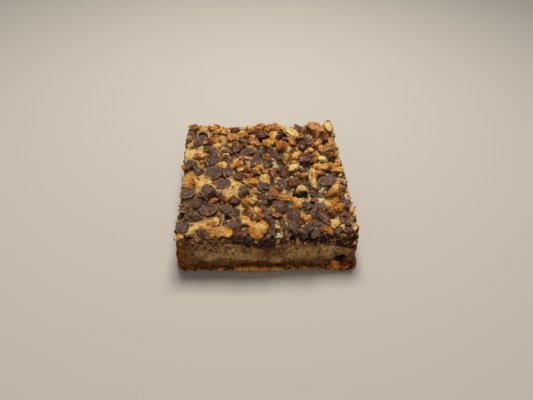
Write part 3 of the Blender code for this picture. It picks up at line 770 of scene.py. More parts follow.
@dataclass(frozen=True)
class CoconutFinish:
    """Moist coconut and condensed milk: beige, browner at the foot, amber at the caramelised end."""

    shadow: Colour = srgb(104, 60, 24)
    beige: Colour = srgb(170, 118, 60)
    cream: Colour = srgb(240, 192, 122)
    rose: Colour = srgb(150, 88, 44)
    russet: Colour = srgb(136, 72, 30)
    brown: Colour = srgb(78, 38, 8)
    burnt_amber: Colour = srgb(80, 34, 2)
    amber: Colour = srgb(166, 82, 0)
    syrup: Colour = srgb(224, 128, 6)
    thread: Colour = srgb(255, 208, 134)
    glint: Colour = srgb(255, 236, 190)
    shaded_hole: Colour = srgb(20, 11, 6)

    def material(self) -> Material:
        """The finish as a material."""
        bench = FinishBench("coconut_filling", 0.46, 0.22)
        grain = bench.noise(0.32, 5, 0.58, distortion=0.6)
        colour = bench.ramp(grain, (0.32, self.shadow), (0.47, self.beige), (0.64, self.cream))
        strokes = bench.noise(1.0, 3, 0.6, stretch=(0.45, 0.45, 2.2), distortion=0.6)
        colour = bench.mix(bench.span(strokes, 0.56, 0.70, 0, 0.3), colour, self.cream)
        clouds = bench.noise(0.2, 4, 0.6, distortion=1.2)
        colour = bench.mix(bench.span(clouds, 0.48, 0.58, 0, 0.7), colour, self.cream)
        colour = bench.mix(bench.span(clouds, 0.32, 0.44, 0.6, 0), colour, self.russet)
        colour = bench.mix("rosy", colour, bench.mix(strokes, self.rose, self.beige))
        colour = bench.mix("pale", colour, self.cream)
        grit = bench.noise(1.25, 3, 0.62)
        colour = bench.mix(bench.span(grit, 0.34, 0.46, 0.45, 0), colour, self.shadow)
        colour = bench.mix(bench.span(grit, 0.54, 0.66, 0, 0.40), colour, self.cream)
        threads = bench.span(bench.cells(0.42, "DISTANCE_TO_EDGE"), 0.02, 0.08, 0.75, 0)
        colour = bench.mix(bench.maths("MULTIPLY", threads, bench.span(clouds, 0.42, 0.56)), colour, self.thread)
        specks = bench.noise(0.62, 3, 0.6, distortion=0.8)
        colour = bench.mix(bench.span(specks, 0.57, 0.62, 0, 0.85), colour, self.brown)
        colour = bench.mix(bench.span(bench.cells(0.42), 0.10, 0.17, 0.9, 0), colour, self.glint)
        burnt = bench.ramp(grit, (0.40, self.brown), (0.62, self.russet))
        colour = bench.mix("browned", colour, burnt)
        baked = bench.ramp(bench.noise(0.5, 4, 0.6), (0.40, self.burnt_amber), (0.56, self.amber), (0.72, self.syrup))
        colour = bench.mix("amber", colour, baked)
        # Painted shade: the hollow measure darkens the pores and the hollow at the front right.
        bench.colour(bench.mix("hollow", colour, self.shaded_hole))
        bench.roughness(bench.span("amber", 0, 1, 0.40, 0.85))
        bench.bump(grit, 0.15)
        bench.bump(bench.noise(0.8, 4, 0.6), 0.5)
        bench.bump(strokes, 0.16)
        return bench.material


@dataclass(frozen=True)
class ChocolateFinish:
    """Melted chocolate and crumb: painted shade, nearly black, in its holes, and brown on its crags."""

    black: Colour = srgb(16, 11, 9)
    dark: Colour = srgb(54, 34, 22)
    brown: Colour = srgb(106, 70, 46)
    crumb: Colour = srgb(156, 108, 66)
    browned: Colour = srgb(104, 58, 22)
    custard: Colour = srgb(186, 128, 64)
    shaded_hole: Colour = srgb(8, 6, 5)

    def material(self) -> Material:
        """The finish as a material."""
        bench = FinishBench("melted_chocolate", 0.6, 0.14)
        grain = bench.noise(0.8, 5, 0.65)
        colour = bench.ramp(grain, (0.34, self.black), (0.46, self.dark), (0.58, self.brown), (0.70, self.crumb))
        milk = bench.ramp(bench.noise(0.6, 5, 0.6), (0.36, self.browned), (0.60, self.custard))
        colour = bench.mix("milk", colour, milk)
        # Painted shade: the hollow measure darkens the holes and the low crumb.
        bench.colour(bench.mix("hollow", colour, self.shaded_hole))
        bench.bump(bench.noise(1.8, 5, 0.7), 0.4)
        return bench.material


@dataclass(frozen=True)
class CrustFinish:
    """Baked milk crust: golden where it browned, pale and greenish where it pooled, with painted shade in its gaps.
    """

    cream: Colour = srgb(250, 224, 152)
    golden: Colour = srgb(230, 171, 84)
    toasted: Colour = srgb(182, 110, 34)
    pool_light: Colour = srgb(238, 222, 168)
    pool: Colour = srgb(198, 174, 130)
    pool_dark: Colour = srgb(110, 82, 58)
    caramel_dark: Colour = srgb(100, 52, 14)
    caramel: Colour = srgb(206, 132, 50)
    cocoa_dark: Colour = srgb(34, 21, 14)
    cocoa: Colour = srgb(90, 55, 36)
    cocoa_light: Colour = srgb(146, 100, 62)
    shaded_hole: Colour = srgb(14, 10, 7)

    def material(self) -> Material:
        """The finish as a material."""
        bench = FinishBench("milk_crust", 0.46, 0.36)
        mottle = bench.noise(0.30, 6, 0.62, distortion=0.8)
        strands = bench.noise(1.1, 4, 0.6, distortion=1.4)
        golden = bench.ramp(mottle, (0.38, self.toasted), (0.48, self.golden), (0.60, self.cream))
        golden = bench.mix(bench.span(strands, 0.54, 0.62, 0, 0.75), golden, self.cream)
        golden = bench.mix(bench.span(strands, 0.35, 0.44, 0.75, 0), golden, self.toasted)
        pool = bench.ramp(bench.noise(0.6, 4), (0.34, self.pool_dark), (0.48, self.pool), (0.64, self.pool_light))
        colour = bench.mix("toast", pool, golden)
        caramel = bench.ramp(bench.noise(0.7, 5, 0.6), (0.38, self.caramel_dark), (0.62, self.caramel))
        colour = bench.mix("wall", colour, caramel)
        grain = bench.noise(0.8, 5, 0.65)
        cocoa = bench.ramp(grain, (0.36, self.cocoa_dark), (0.48, self.cocoa), (0.62, self.cocoa_light))
        colour = bench.mix("cocoa", colour, cocoa)
        colour = bench.mix(bench.maths("MULTIPLY", "skirt", 0.8), colour, self.pool_light)
        # Painted shade: the hollow measure darkens gaps, pits, the front brink and the crust round each bit.
        bench.colour(bench.mix("hollow", colour, self.shaded_hole))
        gloss = bench.span("toast", 0, 1, 0.34, 0.5)
        bench.roughness(bench.maths("MAXIMUM", gloss, "hollow"))
        bench.bump(strands, 0.45)
        return bench.material


@dataclass(frozen=True)
class ChipFinish:
    """Baked chocolate chips: dark greyish brown, dull, with rubbed edges."""

    deep: Colour = srgb(27, 16, 14)
    brown: Colour = srgb(88, 55, 42)
    bloom: Colour = srgb(138, 101, 82)
    rubbed: Colour = srgb(200, 150, 118)
    crevice_shade: Colour = srgb(14, 9, 7)

    def material(self) -> Material:
        """The finish as a material."""
        bench = FinishBench("baked_chip", 0.48, 0.5)
        colour = bench.ramp(bench.noise(0.6, 5, 0.7), (0.35, self.deep), (0.50, self.brown), (0.69, self.bloom))
        worn = bench.maths("MULTIPLY", "edge", bench.span(bench.noise(0.8, 3), 0.36, 0.56))
        colour = bench.mix(bench.maths("MULTIPLY", worn, 0.8), colour, self.rubbed)
        specks = bench.span(bench.noise(2.2, 2, 0.5), 0.63, 0.70, 0, 0.5)
        colour = bench.mix(specks, colour, self.rubbed)
        # Painted shade at the foot of each chip, where it sits in the crust.
        bench.colour(bench.mix("hollow", colour, self.crevice_shade))
        bench.roughness(bench.span(bench.noise(1.3, 2), 0.35, 0.7, 0.28, 0.50))
        bench.bump(bench.span(bench.cells(0.8, "DISTANCE_TO_EDGE"), 0.0, 0.12), 0.13, 0.8)
        bench.bump(bench.noise(1.4, 5, 0.7), 0.32)
        return bench.material


@dataclass(frozen=True)
class NutFinish:
    """Toasted nut: cream flesh that browns by the `warm` measure, and a skin by the `skin` one."""

    name: str
    skin: Colour
    skin_light: Colour
    cream: Colour = srgb(248, 218, 142)
    yellow: Colour = srgb(226, 158, 56)
    orange: Colour = srgb(194, 110, 32)
    brown: Colour = srgb(96, 45, 16)
    crevice_shade: Colour = srgb(34, 16, 8)

    def material(self) -> Material:
        """The finish as a material."""
        bench = FinishBench(self.name, 0.36, 0.46)
        grain = bench.noise(0.55, 3, 0.5, distortion=0.4)
        warm = bench.maths("ADD", "warm", bench.span(grain, 0.3, 0.7, -0.14, 0.14))
        flesh = bench.ramp(warm, (0.08, self.cream), (0.34, self.yellow), (0.60, self.orange), (0.86, self.brown))
        fine = bench.span(bench.noise(1.9, 3, 0.6), 0.60, 0.72, 0, 0.55)
        flesh = bench.mix(fine, flesh, self.brown)
        veins = bench.noise(0.9, 3, 0.55, distortion=0.8)
        skin = bench.ramp(veins, (0.38, self.skin), (0.66, self.skin_light))
        ragged = bench.maths("ADD", "skin", bench.span(veins, 0.3, 0.7, -0.2, 0.2))
        colour = bench.mix(bench.span(ragged, 0.44, 0.56), flesh, skin)
        # Painted shade in the creases and at the foot of each piece.
        bench.colour(bench.mix("hollow", colour, self.crevice_shade))
        bench.roughness(bench.span(grain, 0.3, 0.7, 0.22, 0.46))
        bench.bump(veins, 0.2)
        bench.bump(bench.noise(2.4, 3, 0.6), 0.12)
        return bench.material


@dataclass(frozen=True)
class ShredFinish:
    """Coconut shreds: cream, browned by the `toast` measure, and soaked by the `sunk` one."""

    cream: Colour = srgb(228, 204, 146)
    golden: Colour = srgb(216, 156, 68)
    brown: Colour = srgb(150, 84, 28)
    soaked: Colour = srgb(164, 122, 72)

    def material(self) -> Material:
        """The finish as a material."""
        bench = FinishBench("coconut_shred", 0.5, 0.4)
        warm = bench.maths("ADD", "toast", bench.span(bench.noise(0.8, 3), 0.3, 0.7, -0.2, 0.2))
        colour = bench.ramp(warm, (0.1, self.cream), (0.5, self.golden), (0.95, self.brown))
        bench.colour(bench.mix("sunk", colour, self.soaked))
        bench.bump(bench.noise(2.5, 2), 0.08)
        return bench.material


@dataclass(frozen=True)
class GrainFinish:
    """Loose crumbs, from near black to honey by the `tint` measure."""

    name: str
    stops: tuple[tuple[float, Colour], ...]

    def material(self) -> Material:
        """The finish as a material."""
        bench = FinishBench(self.name, 0.6, 0.3)
        warm = bench.maths("ADD", "tint", bench.span(bench.noise(1.2, 4), 0.3, 0.7, -0.15, 0.15))
        bench.colour(bench.ramp(warm, *self.stops))
        bench.bump(bench.noise(2.0, 4, 0.7), 0.15)
        return bench.material


# The finish of each kind of crumb: its name, places along the tint from 0 to 1, and a colour for each.
GRAIN_FINISHES = (
    (
        "biscuit_crumb", (0.0, 0.4, 0.7, 1.0),
        (srgb(48, 24, 8), srgb(132, 68, 20), srgb(248, 142, 28), srgb(255, 202, 108)),
    ),
    (
        "chocolate_crumb", (0.0, 0.4, 0.72, 1.0),
        (srgb(22, 13, 9), srgb(78, 50, 34), srgb(170, 116, 80), srgb(234, 176, 120)),
    ),
    (
        "nut_crumb", (0.0, 0.3, 0.6, 1.0),
        (srgb(104, 46, 24), srgb(176, 96, 38), srgb(220, 160, 84), srgb(240, 212, 150)),
    ),
)


# -------- layers


@dataclass
class LayerShell:
    """A layer of the bar as it shows at the cut: a fine skin round a plain inside."""

    square: CutSquare
    name: str
    node: str
    slot: str
    low: float
    high: float
    rows: int
    side_points: int = 200
    overlap: float = 0.18
    edge_crag: float = 0.35

    def relief(self, points: Array, share: Array) -> tuple[Array, Measures]:
        """How far the cut stands out, and the measures that the finish reads.

        Args:
            points: places on the plain cut.
            share: the height of each within the layer, from 0 to 1.

        Returns:
            The distance outwards, and one array for each measure.
        """
        raise NotImplementedError

    def swell(self, points: Array, share: Array, crag: float) -> Array:
        """The slow swells of the cut and its crags, which are highest in the middle of a layer."""
        return cut_swell(points, self.edge_crag + (crag - self.edge_crag) * np.sin(np.pi * share))

    def stack(self) -> Object:
        """Raises a disc of rim points row by row, which leaves a closed drum."""
        deselect_all()
        rim = 4 * self.side_points
        bpy.ops.mesh.primitive_circle_add(vertices=rim, radius=1, fill_type="TRIFAN", location=(0, 0, 0))
        bpy.ops.object.mode_set(mode="EDIT")
        bpy.ops.mesh.select_all(action="SELECT")
        for _ in range(self.rows):
            bpy.ops.mesh.extrude_region_move(TRANSFORM_OT_translate={"value": (0, 0, 1)})
        bpy.ops.object.mode_set(mode="OBJECT")
        return bpy.context.view_layer.objects.active

    def rim_square(self, turn: Array) -> tuple[Array, Array]:
        """The place on the unit square's rim for each share of the way round."""
        way = (turn * 4) % 4
        side, along = np.floor(way), way % 1 * 2 - 1
        u = np.choose(side.astype(int), (along, np.ones_like(along), -along, -np.ones_like(along)))
        v = np.choose(side.astype(int), (-np.ones_like(along), along, np.ones_like(along), -along))
        return u, v

    def build(self, material: Material) -> None:
        """Models the layer and dresses it."""
        obj = self.stack()
        drum = coordinates(obj)
        radius = np.hypot(drum[:, 0], drum[:, 1])
        share = drum[:, 2] / self.rows
        rim = radius > 0.5
        turn = np.round(np.arctan2(drum[:, 1], drum[:, 0]) / (2 * np.pi) * 4 * self.side_points)
        u, v = self.rim_square(turn / (4 * self.side_points))
        x, y = self.square.at(u, v, (self.low + self.high) / 2)
        bottom = self.square.face_height(self.low, x, y) - (self.overlap if self.low > 0 else 0)
        top = self.square.face_height(self.high, x, y) + self.square.gap
        z = bottom + (top - bottom) * share
        plain = self.square.pushed_out(u, v, z, np.zeros_like(z))
        out, measures = self.relief(plain, share)
        placed = self.square.pushed_out(u, v, z, out)
        placed[~rim] = columns(np.zeros(2), np.zeros(2), (z[~rim].min(), z[~rim].max()))[: (~rim).sum()]
        if self.low == 0:
            placed[share < 1e-6, 2] = 0
        placed = np.clip(placed, *REACH)
        place_vertices(obj, placed)
        for key, values in measures.items():
            add_measure(obj, key, np.where(rim, values, 0))
        outward_faces(obj)
        finish_piece(obj, self.name, material, self.slot, self.node)


@dataclass
class CrumbBase(LayerShell):
    """The pressed crumb base, with amber flakes along the front and a lump at its right."""

    lump_x: float = 34.5
    lump_reach: float = 6.5
    lump_out: float = 1.5
    lip_x: float = 4.0
    lip_out: float = 0.7
    lip_reach: float = 34.0
    flakes_from: float = -16.0
    flakes_to: float = 7.0
    heap_x: float = 33.5
    heap_reach: float = 5.5

    def relief(self, points: Array, share: Array) -> tuple[Array, Measures]:
        """Coarse crumbs that stand out, and the front lip."""
        x, y, _ = points.T
        front = self.square.at_front(y)
        lip = self.lip_out * bell(x - self.lip_x, self.lip_reach)
        lip = lip + self.lump_out * bell(x - self.lump_x, self.lump_reach)
        lump = grains(points, 0.55, 31.0)
        out = self.swell(points, share, 0.65) + 0.3 * np.sin(np.pi * share)
        out = out + np.where(front, lip, 0) * np.sin(np.pi * np.clip(share * 0.8 + 0.2, 0, 1)) ** 0.5
        out = out + 0.75 * (lump - 0.55) + 0.7 * (crags(points, 0.6, 5.0) - 0.4)
        gold = self.gold(points, share)
        # Painted shade: darker between the grains, along the top of the base, and in patches.
        hollow = between(0.30 - lump, 0, 0.25) * 0.8 + 0.5 * between(share, 0.86, 1.0)
        hollow = hollow + 0.8 * patchy(points, 0.5, 19.0, 0.15, 0.35)
        hollow = np.clip(hollow * (1 - 0.6 * gold), 0, 1)
        return out * np.where(share < 1e-6, 0.6, 1), {"gold": gold, "hollow": hollow}

    def gold(self, points: Array, share: Array) -> Array:
        """How amber the crumb is: in flakes along the front, in the heap, and in spots elsewhere."""
        x, y, _ = points.T
        front = self.square.at_front(y)
        flaky = front & (x > self.flakes_from) & (x < self.flakes_to)
        flakes = np.where(flaky, between(ripples(points * (1, 1, 0.5), 0.16, 9.0) + 0.42, 0.08, 0.24), 0)
        flakes = flakes * np.sin(np.pi * np.clip(share * 1.2, 0, 1))
        heap = np.where(front, bell(x - self.heap_x, self.heap_reach), 0)
        heap = heap * between(ripples(points, 0.35, 14.0) + 0.35, 0.2, 0.5)
        elsewhere = 0.7 * patchy(points, 0.12, 17.0, 0.30, 0.45)
        return np.maximum.reduce([flakes, heap, np.where(front, 0, elsewhere)])


@dataclass
class CoconutFilling(LayerShell):
    """The thick pale filling, with a hollow at its front right and a caramelised left end."""

    hollow_x: float = 34.6
    hollow_reach: float = 3.2
    hollow_deep: float = 5.0
    hollow_share: float = 0.26
    hollow_height: float = 0.17
    bulge_y: float = -33.0
    bulge_reach: float = 9.0
    bulge_out: float = 1.2
    glow_x: float = 38.8
    glow_reach: float = 2.8

    def relief(self, points: Array, share: Array) -> tuple[Array, Measures]:
        """A moist cut with small pores, tears, and browned ends."""
        x, y, _ = points.T
        front, left = self.square.at_front(y), x < -self.square.face_share * self.square.base_half_width
        shaded_hole = np.where(front, bell(x - self.hollow_x, self.hollow_reach), 0)
        shaded_hole = shaded_hole * bell(share - self.hollow_share, self.hollow_height)
        bulge = np.where(left, bell(y - self.bulge_y, self.bulge_reach), 0) * bell(share - 0.4, 0.4)
        pores = patchy(points, 0.75, 21.0, 0.34, 0.52)
        tears = between(ripples(points * (0.5, 0.5, 1.6), 0.5, 27.0), 0.30, 0.5)
        out = self.swell(points, share, 0.5) - self.hollow_deep * shaded_hole + self.bulge_out * bulge
        out = out + 0.8 * (crags(points, 0.5, 2.0) - 0.45) + 0.35 * ripples(points, 0.42, 26.0)
        out = out - 0.6 * pores - 0.5 * tears
        # Painted shade in the sunken pores, and below it in the dented hollow at the front right.
        hollow = 0.85 * pores * patchy(points, 0.2, 8.0, -0.1, 0.3)
        browned, amber = self.browned(points, share, front), self.amber(points, share, front, left)
        return out, {
            "browned": browned * (1 - 0.8 * amber),
            "amber": amber,
            "hollow": np.clip(hollow + 1.5 * between(shaded_hole, 0.2, 0.65), 0, 1),
            "rosy": self.rosy(points, share),
            "pale": self.pale(points, share, front) * (1 - browned),
        }

    def browned(self, points: Array, share: Array, front: Array) -> Array:
        """How brown the cut is: at its foot, at its ends, in flecks, and in the middle of the front."""
        x, y, _ = points.T
        foot = 0.36 + 0.22 * ripples(points, 0.10, 4.0)
        foot = foot + np.where(front, 0.16 * bell(x - 22, 9) + 0.10 * bell(x + 36, 9), 0)
        foot = between(foot - share, 0, 0.22)
        along = np.where(abs(y) > self.square.face_share * self.square.base_half_depth, abs(x), abs(y))
        ends = between(along + 5 * ripples(points, 0.12, 6.0), np.where(x > 0, 29, 27), np.where(x > 0, 40, 34))
        blots = patchy(points, 0.17, 33.0, 0.18, 0.40)
        flecks = between(ripples(points, 0.55, 35.0) + np.where(x < -12, 0.08, -0.02), 0.26, 0.38)
        flecks = flecks * between(share, 0.35, 0.7)
        browned = np.clip(0.8 * foot + 0.72 * ends + 0.35 * blots + 0.85 * flecks, 0, 0.95)
        middle = 0.7 * bell(x, 8) * between(share, 0.25, 0.6)
        return np.clip(browned + np.where(front, middle, 0), 0, 0.95)

    def amber(self, points: Array, share: Array, front: Array, left: Array) -> Array:
        """How caramelised the cut is: the left end, the corner beside it, and a lump at the front right."""
        x, y, _ = points.T
        end = np.where(left, 1.0, 0.0) * bell(y + 24, 28) * (1 - between(share, 0.8, 1.0))
        corner = np.where(front, between(2.5 * ripples(points, 0.2, 24.0) - x, 33.5, 39.5), 0)
        glow = np.where(front, bell(x - self.glow_x, self.glow_reach) * bell(share - 0.50, 0.28), 0)
        amber = np.maximum.reduce([end, corner, 1.2 * glow])
        return np.clip(amber * patchy(points, 0.16, 12.0, -0.65, -0.1), 0, 1)

    def rosy(self, points: Array, share: Array) -> Array:
        """Where the filling turns reddish towards its top."""
        upper = between(share + 0.4 * ripples(points, 0.13, 16.0), 0.55, 0.8)
        return 0.8 * (upper * patchy(points, 0.09, 18.0, -0.3, 0.2))

    def pale(self, points: Array, share: Array, front: Array) -> Array:
        """How creamy the cut is: two broad stretches at the front, and faint ones elsewhere."""
        x = points[:, 0]
        pale = 0.9 * bell(x + 23, 9) * bell(share - 0.40, 0.24) + 0.75 * bell(x - 16, 8) * bell(share - 0.62, 0.24)
        pale = pale * (0.55 + 0.45 * patchy(points, 0.3, 22.0, -0.3, 0.1))
        return np.where(front, pale, 0.35 * patchy(points, 0.07, 20.0, -0.1, 0.3))


@dataclass
class ChocolateBand(LayerShell):
    """The dark crumbly band under the crust."""

    milk_from: float = -11.0
    crag: float = 0.9

    def relief(self, points: Array, share: Array) -> tuple[Array, Measures]:
        """Deep crags and holes with painted shade in them, with milk that ran down over them at the left."""
        x, y, _ = points.T
        crumble = crags(points, 0.32, 3.0)
        holes = patchy(points, 0.36, 15.0, 0.06, 0.26)
        run = np.where(self.square.at_front(y), -0.10 * (x - self.milk_from), -0.2)
        milk = between(run + 1.1 * ripples(points, 0.14, 37.0), -0.1, 0.25)
        milk = milk * patchy(points, 0.42, 39.0, -0.42, -0.15)
        out = self.swell(points, share, self.crag)
        out = out + (1.3 - 0.7 * milk) * (crumble - 0.5) - (1.6 - 0.9 * milk) * holes
        # Painted shade in the holes and between the crags, less where milk ran over.
        hollow = np.clip(0.95 * holes + between(0.34 - crumble, 0, 0.3) * 0.5, 0, 1) * (1 - 0.6 * milk)
        return out, {"hollow": hollow, "milk": milk}


@dataclass
class MilkCrust:
    """The baked milk crust that holds the chips and nuts."""

    square: CutSquare
    bits: Sequence[Bit]
    cells: int = 256
    wall_rows: int = 8
    meniscus: float = 1.0
    meniscus_reach: float = 0.7
    gap_depth: float = 1.8
    pit_rim: float = 1.1
    overlap: float = 0.1
    front_from: float = -30.0

    def cocoa(self, x: Array, y: Array) -> Array:
        """How much chocolate shows in the crust: all along the front right and the front left edge."""
        wander = 2.2 * ripples(columns(x, y, 0), 0.22, 71.0)
        front = between(x + wander, 4, 11) * between(wander - y, 34.5, 38)
        left = between(wander - x, 33.5, 37.5) * (1 - between(y + wander, 2, 8)) * between(y, -39, -35)
        corner = between(wander - x, 17, 23) * (1 - between(y + wander, -15, -10))
        corner = 0.95 * corner * between(y, -34, -30)
        spots = 0.75 * between(wander / 2.2, 0.30, 0.45)
        brink = 0.85 * between(wander - y, 38.0, 40.5) * between(x + wander, -14, -9)
        return np.maximum.reduce([front, left, corner, spots, brink])

    def bare(self, x: Array, y: Array) -> Array:
        """How bare the crust is: 1 in the middle of a bare patch."""
        return np.max([patch.over(x, y) for patch in BARE_PATCHES], axis=0)

    def toast(self, points: Array) -> Array:
        """How golden the crust is: browned at the left, at the rim and on bare patches."""
        x, y, _ = points.T
        edge = np.minimum(self.square.base_half_width - 0.4 - abs(x), self.square.top_half_depth - abs(y))
        left = 1 - between(x + 7 * ripples(points, 0.05, 41.0) + 0.10 * y, -16, 4)
        rim = 0.8 * bell(np.maximum(edge, 0), 3.2)
        spots = patchy(points, 0.11, 43.0, 0.15, 0.4)
        return np.clip(np.maximum.reduce([0.92 * left, rim, 0.8 * spots, 1.2 * self.bare(x, y)]), 0, 1)

    def distance_to(self, bits: Sequence[Bit], x: Array, y: Array) -> Array:
        """The distance in plan to the foot of the nearest of the bits, negative under it."""
        nearest = np.full(len(x), 99.0)
        for bit in bits:
            turn = math.radians(bit.heading)
            dx, dy = x - bit.x, y - bit.y
            near = np.abs(dx) + np.abs(dy) < bit.length + 6
            along = dx[near] * math.cos(turn) + dy[near] * math.sin(turn)
            across = dy[near] * math.cos(turn) - dx[near] * math.sin(turn)
            half_length, half_width = 0.46 * bit.length, 0.46 * bit.width
            reach = np.hypot(along / half_length, across / half_width)
            away = (reach - 1) * math.sqrt(half_length * half_width)
            nearest[near] = np.minimum(nearest[near], away)
        return nearest

    def sheet(self) -> Object:
        """A fine grid with its rim drawn down row by row and closed below."""
        deselect_all()
        bpy.ops.mesh.primitive_grid_add(x_subdivisions=self.cells, y_subdivisions=self.cells, size=2)
        bpy.ops.object.mode_set(mode="EDIT")
        bpy.ops.mesh.select_all(action="DESELECT")
        bpy.ops.mesh.select_mode(type="EDGE")
        bpy.ops.mesh.select_non_manifold()
        for _ in range(self.wall_rows):
            bpy.ops.mesh.extrude_edges_move(TRANSFORM_OT_translate={"value": (0, 0, -1)})
        bpy.ops.mesh.edge_face_add()
        bpy.ops.mesh.poke()
        bpy.ops.object.mode_set(mode="OBJECT")
        return bpy.context.view_layer.objects.active

    def strings(self, points: Array) -> Array:
        """Raised threads of browned milk, broad ones and narrow ones."""
        broad = np.maximum(1 - 3.2 * abs(ripples(points, 0.62, 83.0)), 0)
        return broad + np.maximum(1 - 3.6 * abs(ripples(points, 0.95, 85.0)), 0)

    def gaps(self, points: Array, away: Array, toast: Array) -> Array:
        """How far the crust is open between the bits, most of all where it is pale."""
        x, y, _ = points.T
        gaps = patchy(points, 0.30, 57.0, -0.28, 0.02) * between(away, 0.0, 0.45)
        gaps = gaps * (1 - 0.75 * between(toast, 0.35, 0.8))
        return gaps * (1 - 0.8 * bell(np.hypot(x - 20, (y + 21) * 1.2), 10))

    def hollow(self, points: Array, away: Array, toast: Array) -> Array:
        """Painted shade on the crust beside that of its gaps and pits: along the front brink, and in a dark band
        round each bit.
        """
        brink = between(-points[:, 1], 39.4, 41.2) * patchy(points, 0.24, 79.0, -0.35, 0.15)
        contact_shade = bell(away - 0.15, 0.68) * (0.78 + 0.22 * patchy(points, 0.3, 61.0, -0.2, 0.4))
        return np.maximum(0.85 * brink, contact_shade * (1 - 0.36 * toast))

    def skirt(self, points: Array, from_chips: Array, toast: Array) -> Array:
        """The pale milk that gathered round a chip."""
        round_chip = bell(from_chips - 0.6, 0.4) * (1 - 0.8 * toast)
        return round_chip * patchy(points, 0.2, 77.0, -0.25, 0.1)

    def top_relief(self, points: Array) -> tuple[Array, Measures]:
        """The height of the top at each place, and the measures that its finish reads there."""
        x, y, _ = points.T
        from_chips = self.distance_to(bits_of(self.bits, BitKind.CHIP), x, y)
        nuts = [bit for bit in self.bits if bit.kind is not BitKind.CHIP]
        away = np.minimum(from_chips, self.distance_to(nuts, x, y))
        pits = np.max([patch.over(x, y) for patch in PITS], axis=0)
        custard = np.max([patch.over(x, y) for patch in CUSTARD], axis=0)
        bare, toast = self.bare(x, y), self.toast(points)
        covered, clear = 1 - np.clip(1.5 * bare, 0, 1), between(away, -0.7, 0.5)

        climb = self.meniscus * np.exp(-abs(away) / self.meniscus_reach) * (1.15 - 0.5 * toast)
        z = self.square.crust_height(x, y) + climb - 0.25 - 0.35 * covered + 0.12 * ripples(points, 1.3, 53.0)
        torn_milk = (0.35 + 0.95 * toast) * (crags(points, 0.42, 51.0, 4) - 0.5)
        z = z + (torn_milk + 0.42 * toast * self.strings(points)) * clear - 0.5 * (1 - clear)

        gaps = self.gaps(points, away, toast) * covered * (1 - between(custard, 0.2, 0.5))
        toast = toast * (1 - between(custard, 0.2, 0.6))
        cocoa = self.cocoa(x, y) * (1 - np.clip(1.4 * np.maximum(bare, custard), 0, 1))
        z = z - self.gap_depth * gaps + 1.2 * cocoa * (crags(points, 0.30, 73.0) - 0.55)
        z = z + self.pit_rim * clear * bell(pits - 0.2, 0.12)
        low = self.square.fan_height(self.square.chocolate_top, x, y) + self.square.gap + self.square.clearance

        skirt = np.maximum(self.skirt(points, from_chips, toast), between(custard, 0.3, 0.7))
        torn = bell(pits - 0.14, 0.10)
        # Painted shade in the open gaps and in the pits.
        hollow = np.clip(0.9 * gaps + between(pits, 0.22, 0.40), 0, 1)
        hollow = np.maximum(hollow, self.hollow(points, away, toast)) * (1 - 0.8 * skirt)
        return np.maximum(z, low), {
            "toast": np.maximum(toast, torn),
            "hollow": np.maximum(hollow * (1 - torn), between(pits, 0.25, 0.5)),
            "cocoa": cocoa * (1 - skirt) * (1 - torn),
            "skirt": skirt,
            "wall": 0.9 * between(-y, 39.6, 41.2) * (1 - between(x, -8, -2)),
        }

    def draw_wall(self, u: Array, v: Array, share: Array, top_z: Array,
                  cocoa: Array) -> tuple[Array, Array]:
        """The sheet's rim drawn down to the band below it: the plain wall, and the wall with its crags."""
        lower_x, lower_y = self.square.at(u, v, self.square.chocolate_top)
        lower = self.square.face_height(self.square.chocolate_top, lower_x, lower_y) - self.overlap
        z = lower + (top_z - lower) * share
        plain = self.square.pushed_out(u, v, z, np.zeros_like(z))
        out = 0.65 * ripples(plain, 0.09, 7.0) + ripples(plain, 0.33, 11.0) * (1 - 0.4 * share)
        out = out + 0.9 * (crags(plain, 0.4, 63.0) - 0.5) * (1 - 0.5 * share)
        out = out + 1.2 * (crags(plain, 0.62, 75.0, 3) - 0.5) * cocoa
        return plain, self.square.pushed_out(u, v, z, out)

    def colour_wall(self, plain: Array, share: Array, on_top: Array, rim: Array,
                    measures: Measures) -> None:
        """Changes the measures of the crust's rim to the wall's: chocolate, painted shade in holes and towards its
        foot, and browned milk.
        """
        x, y, _ = plain.T
        front = y < self.front_from
        milk = between(ripples(plain, 0.13, 67.0) + np.where(front, -0.02 * (x + 8), 0.1), -0.15, 0.15)
        cocoa = (1 - milk) * (1 - between(share, 0.7, 1))
        measures["cocoa"][rim] = np.maximum(measures["cocoa"][rim], cocoa)
        # Painted shade in holes on the wall, growing towards its foot.
        holes = patchy(plain, 0.4, 69.0, -0.05, 0.3) * (1 - share) ** 0.7
        holes = np.maximum(holes, 0.55 * (1 - share) ** 2)
        measures["hollow"][rim] = np.where(on_top, measures["hollow"][rim], holes)
        measures["wall"][rim] = np.where(front & (x > 0), 0.6, 0.92)

    def build(self, material: Material) -> None:
        """Models the crust and dresses it."""
        obj = self.sheet()
        grid = coordinates(obj)
        u, v, level = grid[:, 0], grid[:, 1], np.round(-grid[:, 2]).astype(int)
        middle = (np.maximum(abs(u), abs(v)) < 0.5) & (level == self.wall_rows)
        u, v = np.where(middle, 1, u), np.where(middle, 1, v)
        x, y = self.square.at(u, v, self.square.crust_top)
        z, measures = self.top_relief(columns(x, y, 0))
        placed = columns(x, y, z)
        rim = np.maximum(abs(u), abs(v)) > 1 - 1e-6
        share = 1 - level[rim] / self.wall_rows
        plain, placed[rim] = self.draw_wall(u[rim], v[rim], share, z[rim], measures["cocoa"][rim])
        self.colour_wall(plain, share, level[rim] == 0, rim, measures)
        placed[middle] = (0, 0, self.square.fan_height(self.square.chocolate_top, np.zeros(1), np.zeros(1))[0])
        place_vertices(obj, np.clip(placed, *REACH))
        for key, values in measures.items():
            add_measure(obj, key, values)
        outward_faces(obj)
        finish_piece(obj, "milk_crust", material, "crust", "topping")


# -------- chips and nuts


